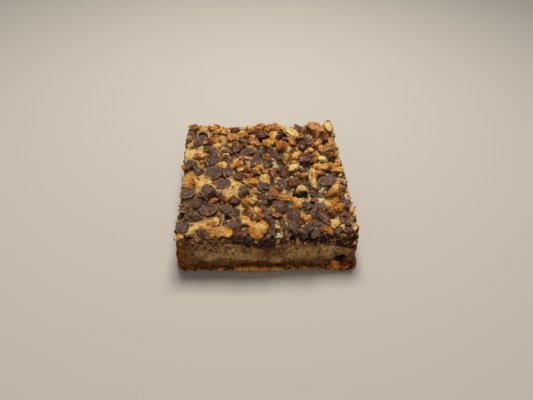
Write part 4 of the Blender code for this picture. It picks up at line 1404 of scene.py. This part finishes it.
@dataclass
class ChipMould:
    """Chocolate chips: a few patterns turned from a ball, softened by the oven, and copied."""

    square: CutSquare
    patterns: int = 9
    seed: int = 23
    broken_seed: int = 29
    broken_size: float = 1.2
    broken_height: float = 0.6
    slump: float = 0.76
    fullness: float = 1.06
    height: float = 0.46
    height_on_back: float = 0.3
    on_back_from: float = 150
    segments: int = 36
    rings: int = 24
    rim_radius: float = 0.5
    # Distance from the axis and height above the foot, in breadths. The foot is a shallow hollow with a rim.
    outline: tuple[tuple[float, float], ...] = (
        (0.0, 0.09), (0.26, 0.07), (0.39, 0.03), (0.44, 0.0), (0.495, 0.03), (0.50, 0.11), (0.47, 0.20),
        (0.39, 0.29), (0.29, 0.37), (0.19, 0.45), (0.11, 0.54), (0.05, 0.63), (0.0, 0.68),
    )

    def pattern(self, seed: int) -> Pattern:
        """One chip, its breadth 1, with its middle at half its height."""
        deselect_all()
        bpy.ops.mesh.primitive_uv_sphere_add(segments=self.segments, ring_count=self.rings, radius=1)
        obj = bpy.context.view_layer.objects.active
        ball = coordinates(obj)
        way = np.arccos(np.clip(-ball[:, 2], -1, 1)) / np.pi
        ring = np.hypot(ball[:, 0], ball[:, 1])
        turn = np.arctan2(ball[:, 1], ball[:, 0])
        radii, heights = np.array(self.outline).T
        stops = np.linspace(0, 1, len(radii))
        radius, height = np.interp(way, stops, radii), np.interp(way, stops, heights)
        draw = random.Random(seed)
        oval, melt, lean = draw.uniform(0.95, 1.05), draw.uniform(0.50, 0.90), draw.uniform(-0.14, 0.14)
        tip = between(height, 0.4, 0.74)
        ring_radius = radius
        radius = np.where(ring > 1e-6, radius * 1.06, 0)
        points = columns(
            radius * np.cos(turn) + lean * tip,
            oval * radius * np.sin(turn) + 0.5 * lean * tip,
            np.where(height > 0.3, 0.3 + (height - 0.3) * melt, height),
        )
        points = points * (draw.uniform(1.0, 1.1), draw.uniform(1.0, 1.1), 1)
        dent = ripples(points, 2.0, seed * 3.1)
        rough = 0.09 * (crags(points, 3.2, seed * 1.7, 4) - 0.45) + 0.02 * ripples(points, 9.0, seed * 2.3)
        points = points * (1 + 0.12 * dent + rough)[:, None]
        for _ in range(seed % 3):
            towards = (draw.gauss(0, 1), draw.gauss(0, 1), draw.gauss(0.4, 0.5))
            points = shaved(points, towards, draw.uniform(0.30, 0.40), 0.85)
        points[:, 2] -= 0.37
        rim = bell(ring_radius - self.rim_radius, 0.045) * (height < 0.18)
        edge = rim + 0.6 * between(rough, 0.01, 0.04)
        return pattern_of(obj, points, {"edge": np.clip(edge, 0, 1)})

    def size_of(self, bit: Bit) -> Array:
        """How long, wide and high a chip is, lower where it lies on its back."""
        height = self.height_on_back if bit.tilt > self.on_back_from else self.height
        return np.array((self.fullness * bit.length, self.fullness * bit.width, height * (bit.length + bit.width)))

    def slumped(self, bit: Bit, points: Array) -> Array:
        """Flattens what stands above the middle of a settled chip."""
        ground = points[:, 2].mean() - 0.08 * bit.width
        points[:, 2] = ground + (points[:, 2] - ground) * np.where(points[:, 2] > ground, self.slump, 1)
        return points

    def build(self, bits: Sequence[Bit], small: Sequence[Bit], material: Material) -> None:
        """Copies the patterns to every chip's place, and broken ones to the gaps."""
        moulds = [self.pattern(7 + k) for k in range(self.patterns)]
        broken = Crumbs(self.square, self.broken_seed).patterns
        gathering = Gathering()
        draw = random.Random(self.seed)
        for bit in small:
            mould = broken[draw.randrange(len(broken))]
            size = np.array((bit.length, bit.width, self.broken_height * bit.width)) * self.broken_size
            points = settle(self.square, bit, mould.points * size, draw.uniform(-50, 50))
            gathering.add(points, mould.faces, {"edge": 0.2, "hollow": shade_at_foot(self.square, points)})
        for number, bit in enumerate(bits):
            mould = moulds[number % self.patterns]
            points = self.slumped(bit, settle(self.square, bit, mould.points * self.size_of(bit), 0.0))
            measures = {"edge": mould.measures["edge"], "hollow": shade_at_foot(self.square, points)}
            gathering.add(points, mould.faces, measures)
        gathering.build("chocolate_chips", material, "chocolate", "topping")


def settle(square: CutSquare, bit: Bit, points: Array, tip: float) -> Array:
    """Puts a bit's points on the crust, clear of the chocolate below it.

    Args:
        square: the bar's outline and heights.
        bit: where it lies and how it is turned.
        points: its shape in millimetres, about its own middle.
        tip: a further lean about its length, in degrees.

    Returns:
        The points in the bar's place.
    """
    ground = square.crust_height(np.array([bit.x]), np.array([bit.y]))[0]
    matrix = bit.matrix(ground) @ Matrix.Rotation(math.radians(tip), 4, "X")
    placed = points @ np.array(matrix.to_3x3()).T + np.array(matrix.translation)
    depth = square.fan_height(square.chocolate_top, placed[:, 0], placed[:, 1]) - placed[:, 2]
    rise = max(depth.max() + square.gap + square.clearance, 0)
    return placed + np.array((0, 0, rise))


def shade_at_foot(square: CutSquare, points: Array) -> Array:
    """Painted shade on a bit close to the crust, in the narrow gap round its foot."""
    ground = square.crust_top - 0.2
    return 0.75 * between(ground + 1.0 - points[:, 2], 0, 1.3)


@dataclass
class NutMould:
    """Chopped nuts: rounded lobes broken by a few flat faces, copied with their own sizes."""

    square: CutSquare
    name: str
    height: float
    lobes: float
    wrinkle: float
    skinned: float
    tearing: float = 0.12
    fullness: float = 1.12
    skins: float = 0.5
    patterns: int = 12
    breaks: int = 4
    bow: float = 0.5
    lean: float = 18
    seed: int = 17

    def pattern(self, seed: int, fine: int) -> Pattern:
        """One piece of nut, its length and width 1."""
        deselect_all()
        bpy.ops.mesh.primitive_ico_sphere_add(subdivisions=fine, radius=1)
        obj = bpy.context.view_layer.objects.active
        ball = coordinates(obj)
        draw = random.Random(seed)
        lobe = ripples(ball, 1.2, seed * 1.3) + 0.35 * ripples(ball, 2.6, seed * 1.9)
        folds = 1 - abs(ripples(ball * (1, 1.8, 1.3), 1.25, seed * 2.1)) * 2.4
        points = ball * (1.02 + self.lobes * lobe - self.wrinkle * between(folds, 0.1, 0.95))[:, None]
        broken = np.zeros(len(points))
        for _ in range(self.breaks):
            normal = Vector((draw.uniform(-1, 1), draw.uniform(-1, 1), draw.uniform(-0.5, 1))).normalized()
            past = points @ np.array(normal) - draw.uniform(0.45, 0.78)
            over = past > 0
            points[over] -= np.outer(past[over] * 0.92, normal)
            broken = np.maximum(broken, between(past, -0.03, 0.06))
        torn = crags(ball, 2.2, seed * 0.7, 2) - 0.45
        points = points * (1 + self.tearing * torn)[:, None]
        bow = self.bow * draw.uniform(-1, 1)
        points[:, 1] += bow * (points[:, 0] ** 2 - 0.4)
        points = points - (points.max(axis=0) + points.min(axis=0)) / 2
        points = points / np.abs(points).max(axis=0) / 2 * self.fullness
        points[:, 2] *= self.height / self.fullness
        skin = self.skinned + 0.6 * ripples(ball, 0.9, seed * 4.3) - 0.9 * broken * draw.uniform(0.6, 1)
        crease = between(folds, 0.4, 1.0)
        warm = 0.40 + 0.55 * ripples(ball, 0.75, seed * 5.1) + 0.22 * crease - 0.10 * broken
        # Painted shade in the creases, less on the broken faces.
        measures = {"skin": np.clip(skin, 0, 1), "hollow": 0.35 * crease * (1 - 0.7 * broken), "warm": warm}
        return pattern_of(obj, points, measures)

    def build(self, bits: Sequence[Bit], small: Sequence[Bit], material: Material) -> None:
        """Copies the patterns to every nut's place, and coarser ones to the gaps."""
        large = [self.pattern(100 + k, 4) for k in range(self.patterns)]
        coarse = [self.pattern(200 + k, 3) for k in range(self.patterns)]
        draw = random.Random(self.seed)
        gathering = Gathering()
        for number, bit in enumerate((*bits, *small)):
            mould = (large if number < len(bits) else coarse)[number % self.patterns]
            size = np.array((bit.length, bit.width, bit.width))
            points = settle(self.square, bit, mould.points * size, draw.uniform(-self.lean, self.lean))
            foot = shade_at_foot(self.square, points)
            measures = {
                "skin": mould.measures["skin"] * (1 if draw.random() < self.skins else 0),
                "hollow": np.maximum(mould.measures["hollow"], foot),
                "warm": 0.9 * (mould.measures["warm"] - 0.42) + bit.warmth + draw.uniform(-0.05, 0.05),
            }
            gathering.add(points, mould.faces, measures)
        gathering.build(self.name, material, "nut", "topping")


# -------- shreds and crumbs


@dataclass
class CoconutShreds:
    """Curled shreds of coconut on the crust, and cut ends of them in the filling."""

    square: CutSquare
    on_top: int = 120
    on_cuts: int = 300
    seed: int = 5
    segments: int = 6
    straight_below: float = 1e-3
    cut_margin: float = 2.0
    # What stays free of shreds: the caramelised left end, and the hollow at the front right.
    left_end: float = -35.0
    hollow_corner: Vec3 = (30.0, -38.0, 10.0)

    def strip(self, length: float, breadth: float, thick: float, curl: float,
              twist: float) -> tuple[Array, Array]:
        """The points and triangles of a flat, blunt strip along X, with its curl and twist in radians."""
        shares = np.linspace(-0.5, 0.5, self.segments + 1)
        taper = np.sqrt(np.clip(1 - (2 * shares) ** 6, 0.12, 1))
        turning = max(abs(curl), self.straight_below)
        rings = []
        for share, narrow in zip(shares, taper):
            bend, lean = curl * share, twist * share
            along = math.sin(bend) / turning if abs(curl) > self.straight_below else share
            middle = np.array((along * length, (1 - math.cos(bend)) / turning * length, 0.0))
            side = np.array((-math.sin(bend), math.cos(bend) * math.cos(lean), math.sin(lean)))
            up = np.array((0, -math.sin(lean), math.cos(lean)))
            half, deep = breadth / 2 * narrow, thick / 2 * narrow
            rings.append([middle + side * half, middle + up * deep, middle - side * half, middle - up * deep])
        points = np.array(rings).reshape(-1, 3)
        faces = [(0, 3, 1), (1, 3, 2)]
        for k in range(self.segments):
            for j in range(4):
                a, b = 4 * k + j, 4 * k + (j + 1) % 4
                faces += [(a, b, a + 4), (b, b + 4, a + 4)]
        end = 4 * self.segments
        faces += [(end, end + 1, end + 3), (end + 1, end + 2, end + 3)]
        return points, np.array(faces)[:, ::-1]

    def build(self, crust: MilkCrust, material: Material) -> None:
        """Strews the shreds on the top, and lays shorter ones in the cuts."""
        draw = random.Random(self.seed)
        gathering = Gathering()
        laid = 0
        while laid < self.on_top:
            x, y = draw.uniform(-39, 39), draw.uniform(-40, 40)
            toast = crust.toast(np.array([[x, y, 0.0]]))[0]
            if draw.random() < 0.15 + 0.85 * toast:
                self.lay_on_top(draw, gathering, crust, np.array([[x, y, 0.0]]), toast)
                laid += 1
        for _ in range(self.on_cuts):
            self.lay_in_cut(draw, gathering)
        gathering.build("coconut_shreds", material, "coconut")

    def lay_on_top(self, draw: random.Random, gathering: Gathering, crust: MilkCrust, place: Array,
                   toast: float) -> None:
        """Lays one shred on the crust, browner where the crust is."""
        points, faces = self.strip(draw.uniform(2.0, 4.6), draw.uniform(0.5, 1.0), 0.3,
                                   draw.uniform(-1.4, 1.4), draw.uniform(-1.5, 1.5))
        heading = Matrix.Rotation(draw.uniform(0, 2 * math.pi), 3, "Z")
        turn = heading @ Matrix.Rotation(draw.uniform(-0.25, 0.25), 3, "Y")
        ground, _ = crust.top_relief(place)
        placed = points @ np.array(turn).T + place[0] + (0, 0, ground[0] + draw.uniform(-0.1, 0.2))
        browned = min(max(0.25 + 0.6 * toast + draw.uniform(-0.25, 0.3), 0), 1)
        gathering.add(placed, faces, {"toast": browned, "sunk": 0.0})

    def lay_in_cut(self, draw: random.Random, gathering: Gathering) -> None:
        """Lays one shred, mostly level, in the cut face of the filling."""
        side, along = draw.randrange(4), draw.uniform(-0.95, 0.95)
        z = draw.uniform(self.square.base_top + self.cut_margin, self.square.filling_top - self.cut_margin)
        place = self.square.on_cut(side, along, z, 0.45, 0.2)
        corner_x, corner_y, corner_z = self.hollow_corner
        in_hollow = place[0] > corner_x and place[1] < corner_y and place[2] < corner_z
        if place[0] < self.left_end or in_hollow:
            return
        points, faces = self.strip(draw.uniform(1.0, 3.2), draw.uniform(0.3, 0.6), 0.35,
                                   draw.uniform(-0.9, 0.9), draw.uniform(-0.4, 0.4))
        slope = Matrix.Rotation(math.pi / 2, 3, "X") @ Matrix.Rotation(draw.gauss(0, 0.35), 3, "Z")
        turn = Matrix.Rotation(side * math.pi / 2, 3, "Z")
        placed = points @ np.array(turn @ slope).T + place
        gathering.add(placed, faces, {"toast": draw.uniform(0.0, 0.3), "sunk": draw.uniform(0.25, 0.95)})


@dataclass
class Crumbs:
    """Small broken grains, each of a few dozen faces."""

    square: CutSquare
    seed: int = 3
    kinds: int = 8
    in_base: int = 520
    in_heap: int = 150
    in_pillar: int = 46
    at_foot: int = 90
    in_band: int = 620
    at_brink: int = 320
    on_crust: int = 170
    # The front of the base: how far it stands from the middle, its lip and the lump at its right.
    front_y: float = -42.6
    lip_x: float = 4.0
    lump_x: float = 34.5
    lump_reach: float = 6.5
    # Amber flakes along the front of the base: x, z, length, height.
    flakes: tuple[tuple[float, float, float, float], ...] = (
        (-13.4, 1.7, 3.4, 2.1), (-10.2, 2.0, 3.0, 2.7), (-6.4, 1.9, 3.8, 2.8), (-2.2, 1.9, 3.8, 2.6),
        (3.4, 1.7, 3.2, 2.4), (6.2, 1.4, 1.8, 1.6), (-22.0, 1.9, 2.4, 1.4), (17.5, 1.7, 2.4, 1.3),
    )
    flake_y: float = -43.75
    flake_deep: float = 2.2

    def __post_init__(self) -> None:
        """Models the few grains that are copied."""
        self.patterns = [self.grain(self.seed * 10 + k) for k in range(self.kinds)]

    def grain(self, seed: int) -> Pattern:
        """One angular grain of breadth 1, broken by a few planes."""
        deselect_all()
        bpy.ops.mesh.primitive_ico_sphere_add(subdivisions=2, radius=1)
        obj = bpy.context.view_layer.objects.active
        ball = coordinates(obj)
        points = ball * (1 + 0.38 * ripples(ball, 1.2, seed * 1.9))[:, None]
        draw = random.Random(seed)
        for _ in range(3):
            towards = (draw.gauss(0, 1), draw.gauss(0, 1), draw.gauss(0, 1))
            points = shaved(points, towards, draw.uniform(0.3, 0.7), 1.0)
        return pattern_of(obj, points / np.abs(points).max(axis=0) / 2, {})

    def set_grain(self, draw: random.Random, gathering: Gathering, place: Array, size: float,
                  tint: float) -> None:
        """Adds one grain at a place, turned at random."""
        mould = self.patterns[draw.randrange(self.kinds)]
        turn = Matrix.Rotation(draw.uniform(0, 6.28), 3, "Z") @ Matrix.Rotation(draw.uniform(0, 6.28), 3, "X")
        stretch = np.array((1.0, draw.uniform(0.6, 1), draw.uniform(0.45, 0.9))) * size
        gathering.add((mould.points * stretch) @ np.array(turn).T + place, mould.faces, {"tint": tint})

    def cut_place(self, draw: random.Random, low: float, high: float, inwards: float) -> tuple[Array, bool]:
        """A random place on the cuts between two heights, and whether it is on the front one."""
        side, along = draw.randrange(4), draw.uniform(-0.985, 0.985)
        return self.square.on_cut(side, along, draw.uniform(low, high), 0.5, inwards), side == 0

    def base_crumbs(self, material: Material) -> None:
        """Biscuit crumbs that stand in the cut of the base, heaped at the front right."""
        draw = random.Random(self.seed)
        gathering = Gathering()
        self.line_base(draw, gathering)
        self.heap_up(draw, gathering)
        self.strew_foot(draw, gathering)
        self.lay_flakes(draw, gathering)
        gathering.build("base_crumbs", material, "crumb")

    def line_base(self, draw: random.Random, gathering: Gathering) -> None:
        """Crumbs all round the cut of the base, golden in the lump at the front right."""
        for _ in range(self.in_base):
            size = draw.uniform(0.5, 1.7)
            place, front = self.cut_place(draw, 0.5 * size + 0.05, 2.9, 0.15)
            if front:
                lump = 1.6 * bell(place[0] - self.lump_x, self.lump_reach)
                place[1] -= 0.7 * bell(place[0] - self.lip_x, 34.0) + lump
            golden = front and 26 < place[0] < 41
            tint = draw.uniform(0.45, 1.0) if golden else draw.uniform(0.0, 0.75)
            self.set_grain(draw, gathering, place, size, tint)

    def heap_up(self, draw: random.Random, gathering: Gathering) -> None:
        """The heap at the front right, with a golden pillar at its left."""
        for _ in range(self.in_heap):
            size = draw.uniform(0.8, 2.3)
            x = draw.gauss(33.5, 3.8)
            z = max(abs(draw.gauss(0, 2.8)), 0.5 * size + 0.05)
            out = 1.7 * bell(x - self.lump_x, self.lump_reach) * bell(z, 5.0)
            y = self.front_y - out + draw.uniform(-0.3, 0.5)
            if z > 6.2 or x > 40.5 or (x > 33 and z > 3.6):
                continue
            golden = 0.6 * bell(x - 31.4, 1.8)
            self.set_grain(draw, gathering, np.array((x, y, z)), size, draw.uniform(0.05, 0.55) + golden)
        for _ in range(self.in_pillar):
            x, z = draw.gauss(31.2, 0.9), draw.uniform(0.6, 6.0)
            place = np.array((x, -43.5 + 0.10 * z + draw.uniform(-0.4, 0.3), z))
            self.set_grain(draw, gathering, place, draw.uniform(0.9, 1.8), draw.uniform(0.72, 1.0))

    def strew_foot(self, draw: random.Random, gathering: Gathering) -> None:
        """Crumbs that stick to the foot of the front."""
        for _ in range(self.at_foot):
            size, x = draw.uniform(0.7, 1.8), draw.uniform(-40, 30)
            y = self.front_y - 0.3 - 0.5 * bell(x - self.lip_x, 30.0) + draw.uniform(-0.3, 0.3)
            place = np.array((x, y, 0.5 * size + draw.uniform(0, 0.8)))
            self.set_grain(draw, gathering, place, size, draw.uniform(0.3, 0.95))

    def lay_flakes(self, draw: random.Random, gathering: Gathering) -> None:
        """The amber flakes along the front, each of three grains side by side."""
        for x, z, length, height in self.flakes:
            for part in (-1, 0, 1):
                turn = Matrix.Rotation(draw.uniform(-0.25, 0.25), 3, "Y")
                size = np.array((0.66 * length, self.flake_deep, height * draw.uniform(0.8, 1.15)))
                place = np.array((x + part * 0.3 * length, self.flake_y + draw.uniform(-0.3, 0.2), z))
                mould = self.patterns[draw.randrange(self.kinds)]
                points = (mould.points * size) @ np.array(turn).T + place
                points[:, 2] = np.maximum(points[:, 2], 0.02)
                gathering.add(points, mould.faces, {"tint": draw.uniform(0.8, 1.0)})

    def filling_height(self, x: float, y: float) -> float:
        """The top of the filling at a place on the cuts."""
        return self.square.face_height(self.square.filling_top, np.array([x]), np.array([y]))[0]

    def chocolate_crumbs(self, material: Material) -> None:
        """Broken chocolate and brown crumb in the band below the crust, most of it at the front right."""
        draw = random.Random(self.seed + 1)
        gathering = Gathering()
        for _ in range(self.in_band):
            size = min(draw.expovariate(1.1) + 0.6, 3.0)
            place, _ = self.cut_place(draw, 15.2, 20.4, 0.35)
            if place[2] < self.filling_height(place[0], place[1]) - 0.3:
                continue
            self.set_grain(draw, gathering, place, size, draw.uniform(0.0, 1.0) ** 1.3)
        for _ in range(self.at_brink):
            size, x, z = min(draw.expovariate(1.0) + 0.7, 3.0), draw.uniform(3, 39.4), draw.uniform(15.0, 21.6)
            highest = 19.5 + 2 * between(x, 6, 12)
            if z < self.filling_height(x, -42.0) - 0.2 or z > highest:
                continue
            out = 0.7 * ripples(np.array([[x, -42.0, z]]), 0.09, 7.0) + draw.uniform(-0.7, 0.5)
            place = self.square.pushed_out(np.array([x / 40.3]), np.array([-1.0]), np.array([z]), out)[0]
            self.set_grain(draw, gathering, place, size, draw.uniform(0.05, 1.0))
        gathering.build("chocolate_crumbs", material, "chocolate")

    def nut_crumbs(self, crust: MilkCrust, material: Material) -> None:
        """Tiny broken nut on the crust, between the larger pieces."""
        draw = random.Random(self.seed + 2)
        gathering = Gathering()
        for _ in range(self.on_crust):
            x, y = draw.uniform(-39.3, 39.3), draw.uniform(-40.5, 41)
            size = min(draw.expovariate(1.2) + 0.6, 2.6)
            if any(math.hypot(x - p.x, y - p.y) < 1.8 * p.reach for p in PITS):
                continue
            ground, _ = crust.top_relief(np.array([[x, y, 0.0]]))
            place = np.array((x, y, ground[0] + 0.18 * size))
            self.set_grain(draw, gathering, place, size, draw.uniform(0, 1))
        gathering.build("nut_crumbs", material, "nut")


# -------- studio


@dataclass(frozen=True)
class SoftBox:
    """A square soft light: where it stands, what it faces, its side and its power."""

    name: str
    place: Vec3
    side: float
    power: float
    target: Vec3 = (0.0, 0.0, 0.01)
    colour: Colour = (1.0, 0.92, 0.80)

    def build(self) -> None:
        """Sets up the light."""
        data = bpy.data.lights.new(self.name, "AREA")
        data.size = self.side
        data.color = self.colour
        data.energy = self.power
        lamp = bpy.data.objects.new(self.name, data)
        lamp.location = self.place
        lamp.rotation_euler = (Vector(self.target) - Vector(self.place)).to_track_quat("-Z", "Y").to_euler()
        bpy.context.scene.collection.objects.link(lamp)


@dataclass(frozen=True)
class Studio:
    """The camera at the photograph's angle, a pale floor and soft light from above."""

    eye: Vec3 = (-0.0100, -0.1529, 0.1538)
    right: Vec3 = (0.9986, -0.0439, 0.0291)
    up: Vec3 = (0.0101, 0.7015, 0.7126)
    lens: float = 27.02
    sensor_width: float = 36
    floor_side: float = 3.0
    floor_colour: Colour = (0.66, 0.64, 0.62)
    room_colour: Colour = (1.0, 0.94, 0.84)
    ambient: float = 0.14

    def build(self) -> None:
        """Makes the camera, the floor, the lights and the room's own light."""
        self.build_camera()
        self.build_floor()
        SoftBox("key_light", (0.01, 0.17, 0.50), 0.20, 2.33).build()
        SoftBox("front_light", (-0.25, -0.45, 0.40), 0.45, 0.30).build()
        world = bpy.data.worlds.new("room")
        world.use_nodes = True
        background = world.node_tree.nodes["Background"]
        background.inputs["Color"].default_value = (*self.room_colour, 1)
        background.inputs["Strength"].default_value = self.ambient
        bpy.context.scene.world = world
        bpy.context.scene.view_settings.view_transform = "Standard"

    def build_camera(self) -> None:
        """Places the camera."""
        data = bpy.data.cameras.new("camera")
        data.lens = self.lens
        data.sensor_width = self.sensor_width
        data.clip_start, data.clip_end = 0.005, 20
        camera = bpy.data.objects.new("camera", data)
        right, up = Vector(self.right).normalized(), Vector(self.up)
        back = right.cross(up).normalized()
        up = back.cross(right)
        camera.matrix_world = Matrix.Translation(self.eye) @ Matrix((right, up, back)).transposed().to_4x4()
        bpy.context.scene.collection.objects.link(camera)
        bpy.context.scene.camera = camera

    def build_floor(self) -> None:
        """Lays the plain floor."""
        deselect_all()
        bpy.ops.mesh.primitive_plane_add(size=self.floor_side, location=(0, 0, 0))
        floor = bpy.context.view_layer.objects.active
        floor.name = "floor"
        bench = FinishBench("floor", 0.8, 0.2)
        bench.colour(self.floor_colour)
        floor.data.materials.append(bench.material)


def chocolate_share(crust: MilkCrust) -> Callable[[float, float], float]:
    """Makes the rule for how much of the filler is chocolate at a place."""

    def share(x: float, y: float) -> float:
        """More to the left and where chocolate shows in the crust."""
        return max(0.62 - 0.002 * x - 0.005 * y, 0.9 * float(crust.cocoa(np.array([x]), np.array([y]))[0]))

    return share


def build_layers(square: CutSquare) -> None:
    """Builds the three layers that show at the cuts."""
    CrumbBase(
        square, "crumb_base_skin", "crumb_base", slot="crumb", low=0.0, high=square.base_top, rows=8
    ).build(CrumbFinish().material())
    CoconutFilling(
        square, "coconut_filling_skin", "coconut_filling", slot="coconut", low=square.base_top,
        high=square.filling_top, rows=30,
    ).build(CoconutFinish().material())
    ChocolateBand(
        square, "chocolate_band_skin", "chocolate_band", slot="chocolate", low=square.filling_top,
        high=square.chocolate_top, rows=10,
    ).build(ChocolateFinish().material())


def build_topping(square: CutSquare) -> MilkCrust:
    """Builds the crust with its chips and nuts, and gives the crust back."""
    bits = Strewing(square).bits()
    fillers = Strewing(square).fillers(bits, chocolate_share(MilkCrust(square, bits)))
    crust = MilkCrust(square, bits + fillers)
    crust.build(CrustFinish().material())
    ChipMould(square).build(bits_of(bits, BitKind.CHIP), bits_of(fillers, BitKind.CHIP), ChipFinish().material())
    walnuts = NutMould(square, "walnut_pieces", height=0.80, lobes=0.26, wrinkle=0.20, skinned=0.42)
    walnut = NutFinish("walnut_flesh", srgb(104, 50, 20), srgb(158, 86, 34))
    pecans = NutMould(
        square, "pecan_pieces", height=0.66, lobes=0.16, wrinkle=0.22, skinned=0.80, skins=1.0, breaks=2
    )
    pecan = NutFinish("pecan_flesh", srgb(60, 26, 18), srgb(122, 58, 34))
    for mould, kind, finish in ((walnuts, BitKind.WALNUT, walnut), (pecans, BitKind.PECAN, pecan)):
        mould.build(bits_of(bits, kind), bits_of(fillers, kind), finish.material())
    return crust


def build_loose_bits(square: CutSquare, crust: MilkCrust) -> None:
    """Builds the shreds and the three kinds of crumbs."""
    CoconutShreds(square).build(crust, ShredFinish().material())
    biscuit, cocoa, nut = (
        GrainFinish(name, tuple(zip(places, colours))).material() for name, places, colours in GRAIN_FINISHES
    )
    crumbs = Crumbs(square)
    crumbs.base_crumbs(biscuit)
    crumbs.chocolate_crumbs(cocoa)
    crumbs.nut_crumbs(crust, nut)


def main() -> None:
    """Builds the bar layer by layer, then its crust and what lies on it."""
    logging.basicConfig(level=logging.INFO, format="%(name)s %(message)s")
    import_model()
    square = CutSquare()
    Studio().build()
    build_layers(square)
    crust = build_topping(square)
    build_loose_bits(square, crust)


if __name__ == "__main__":
    main()
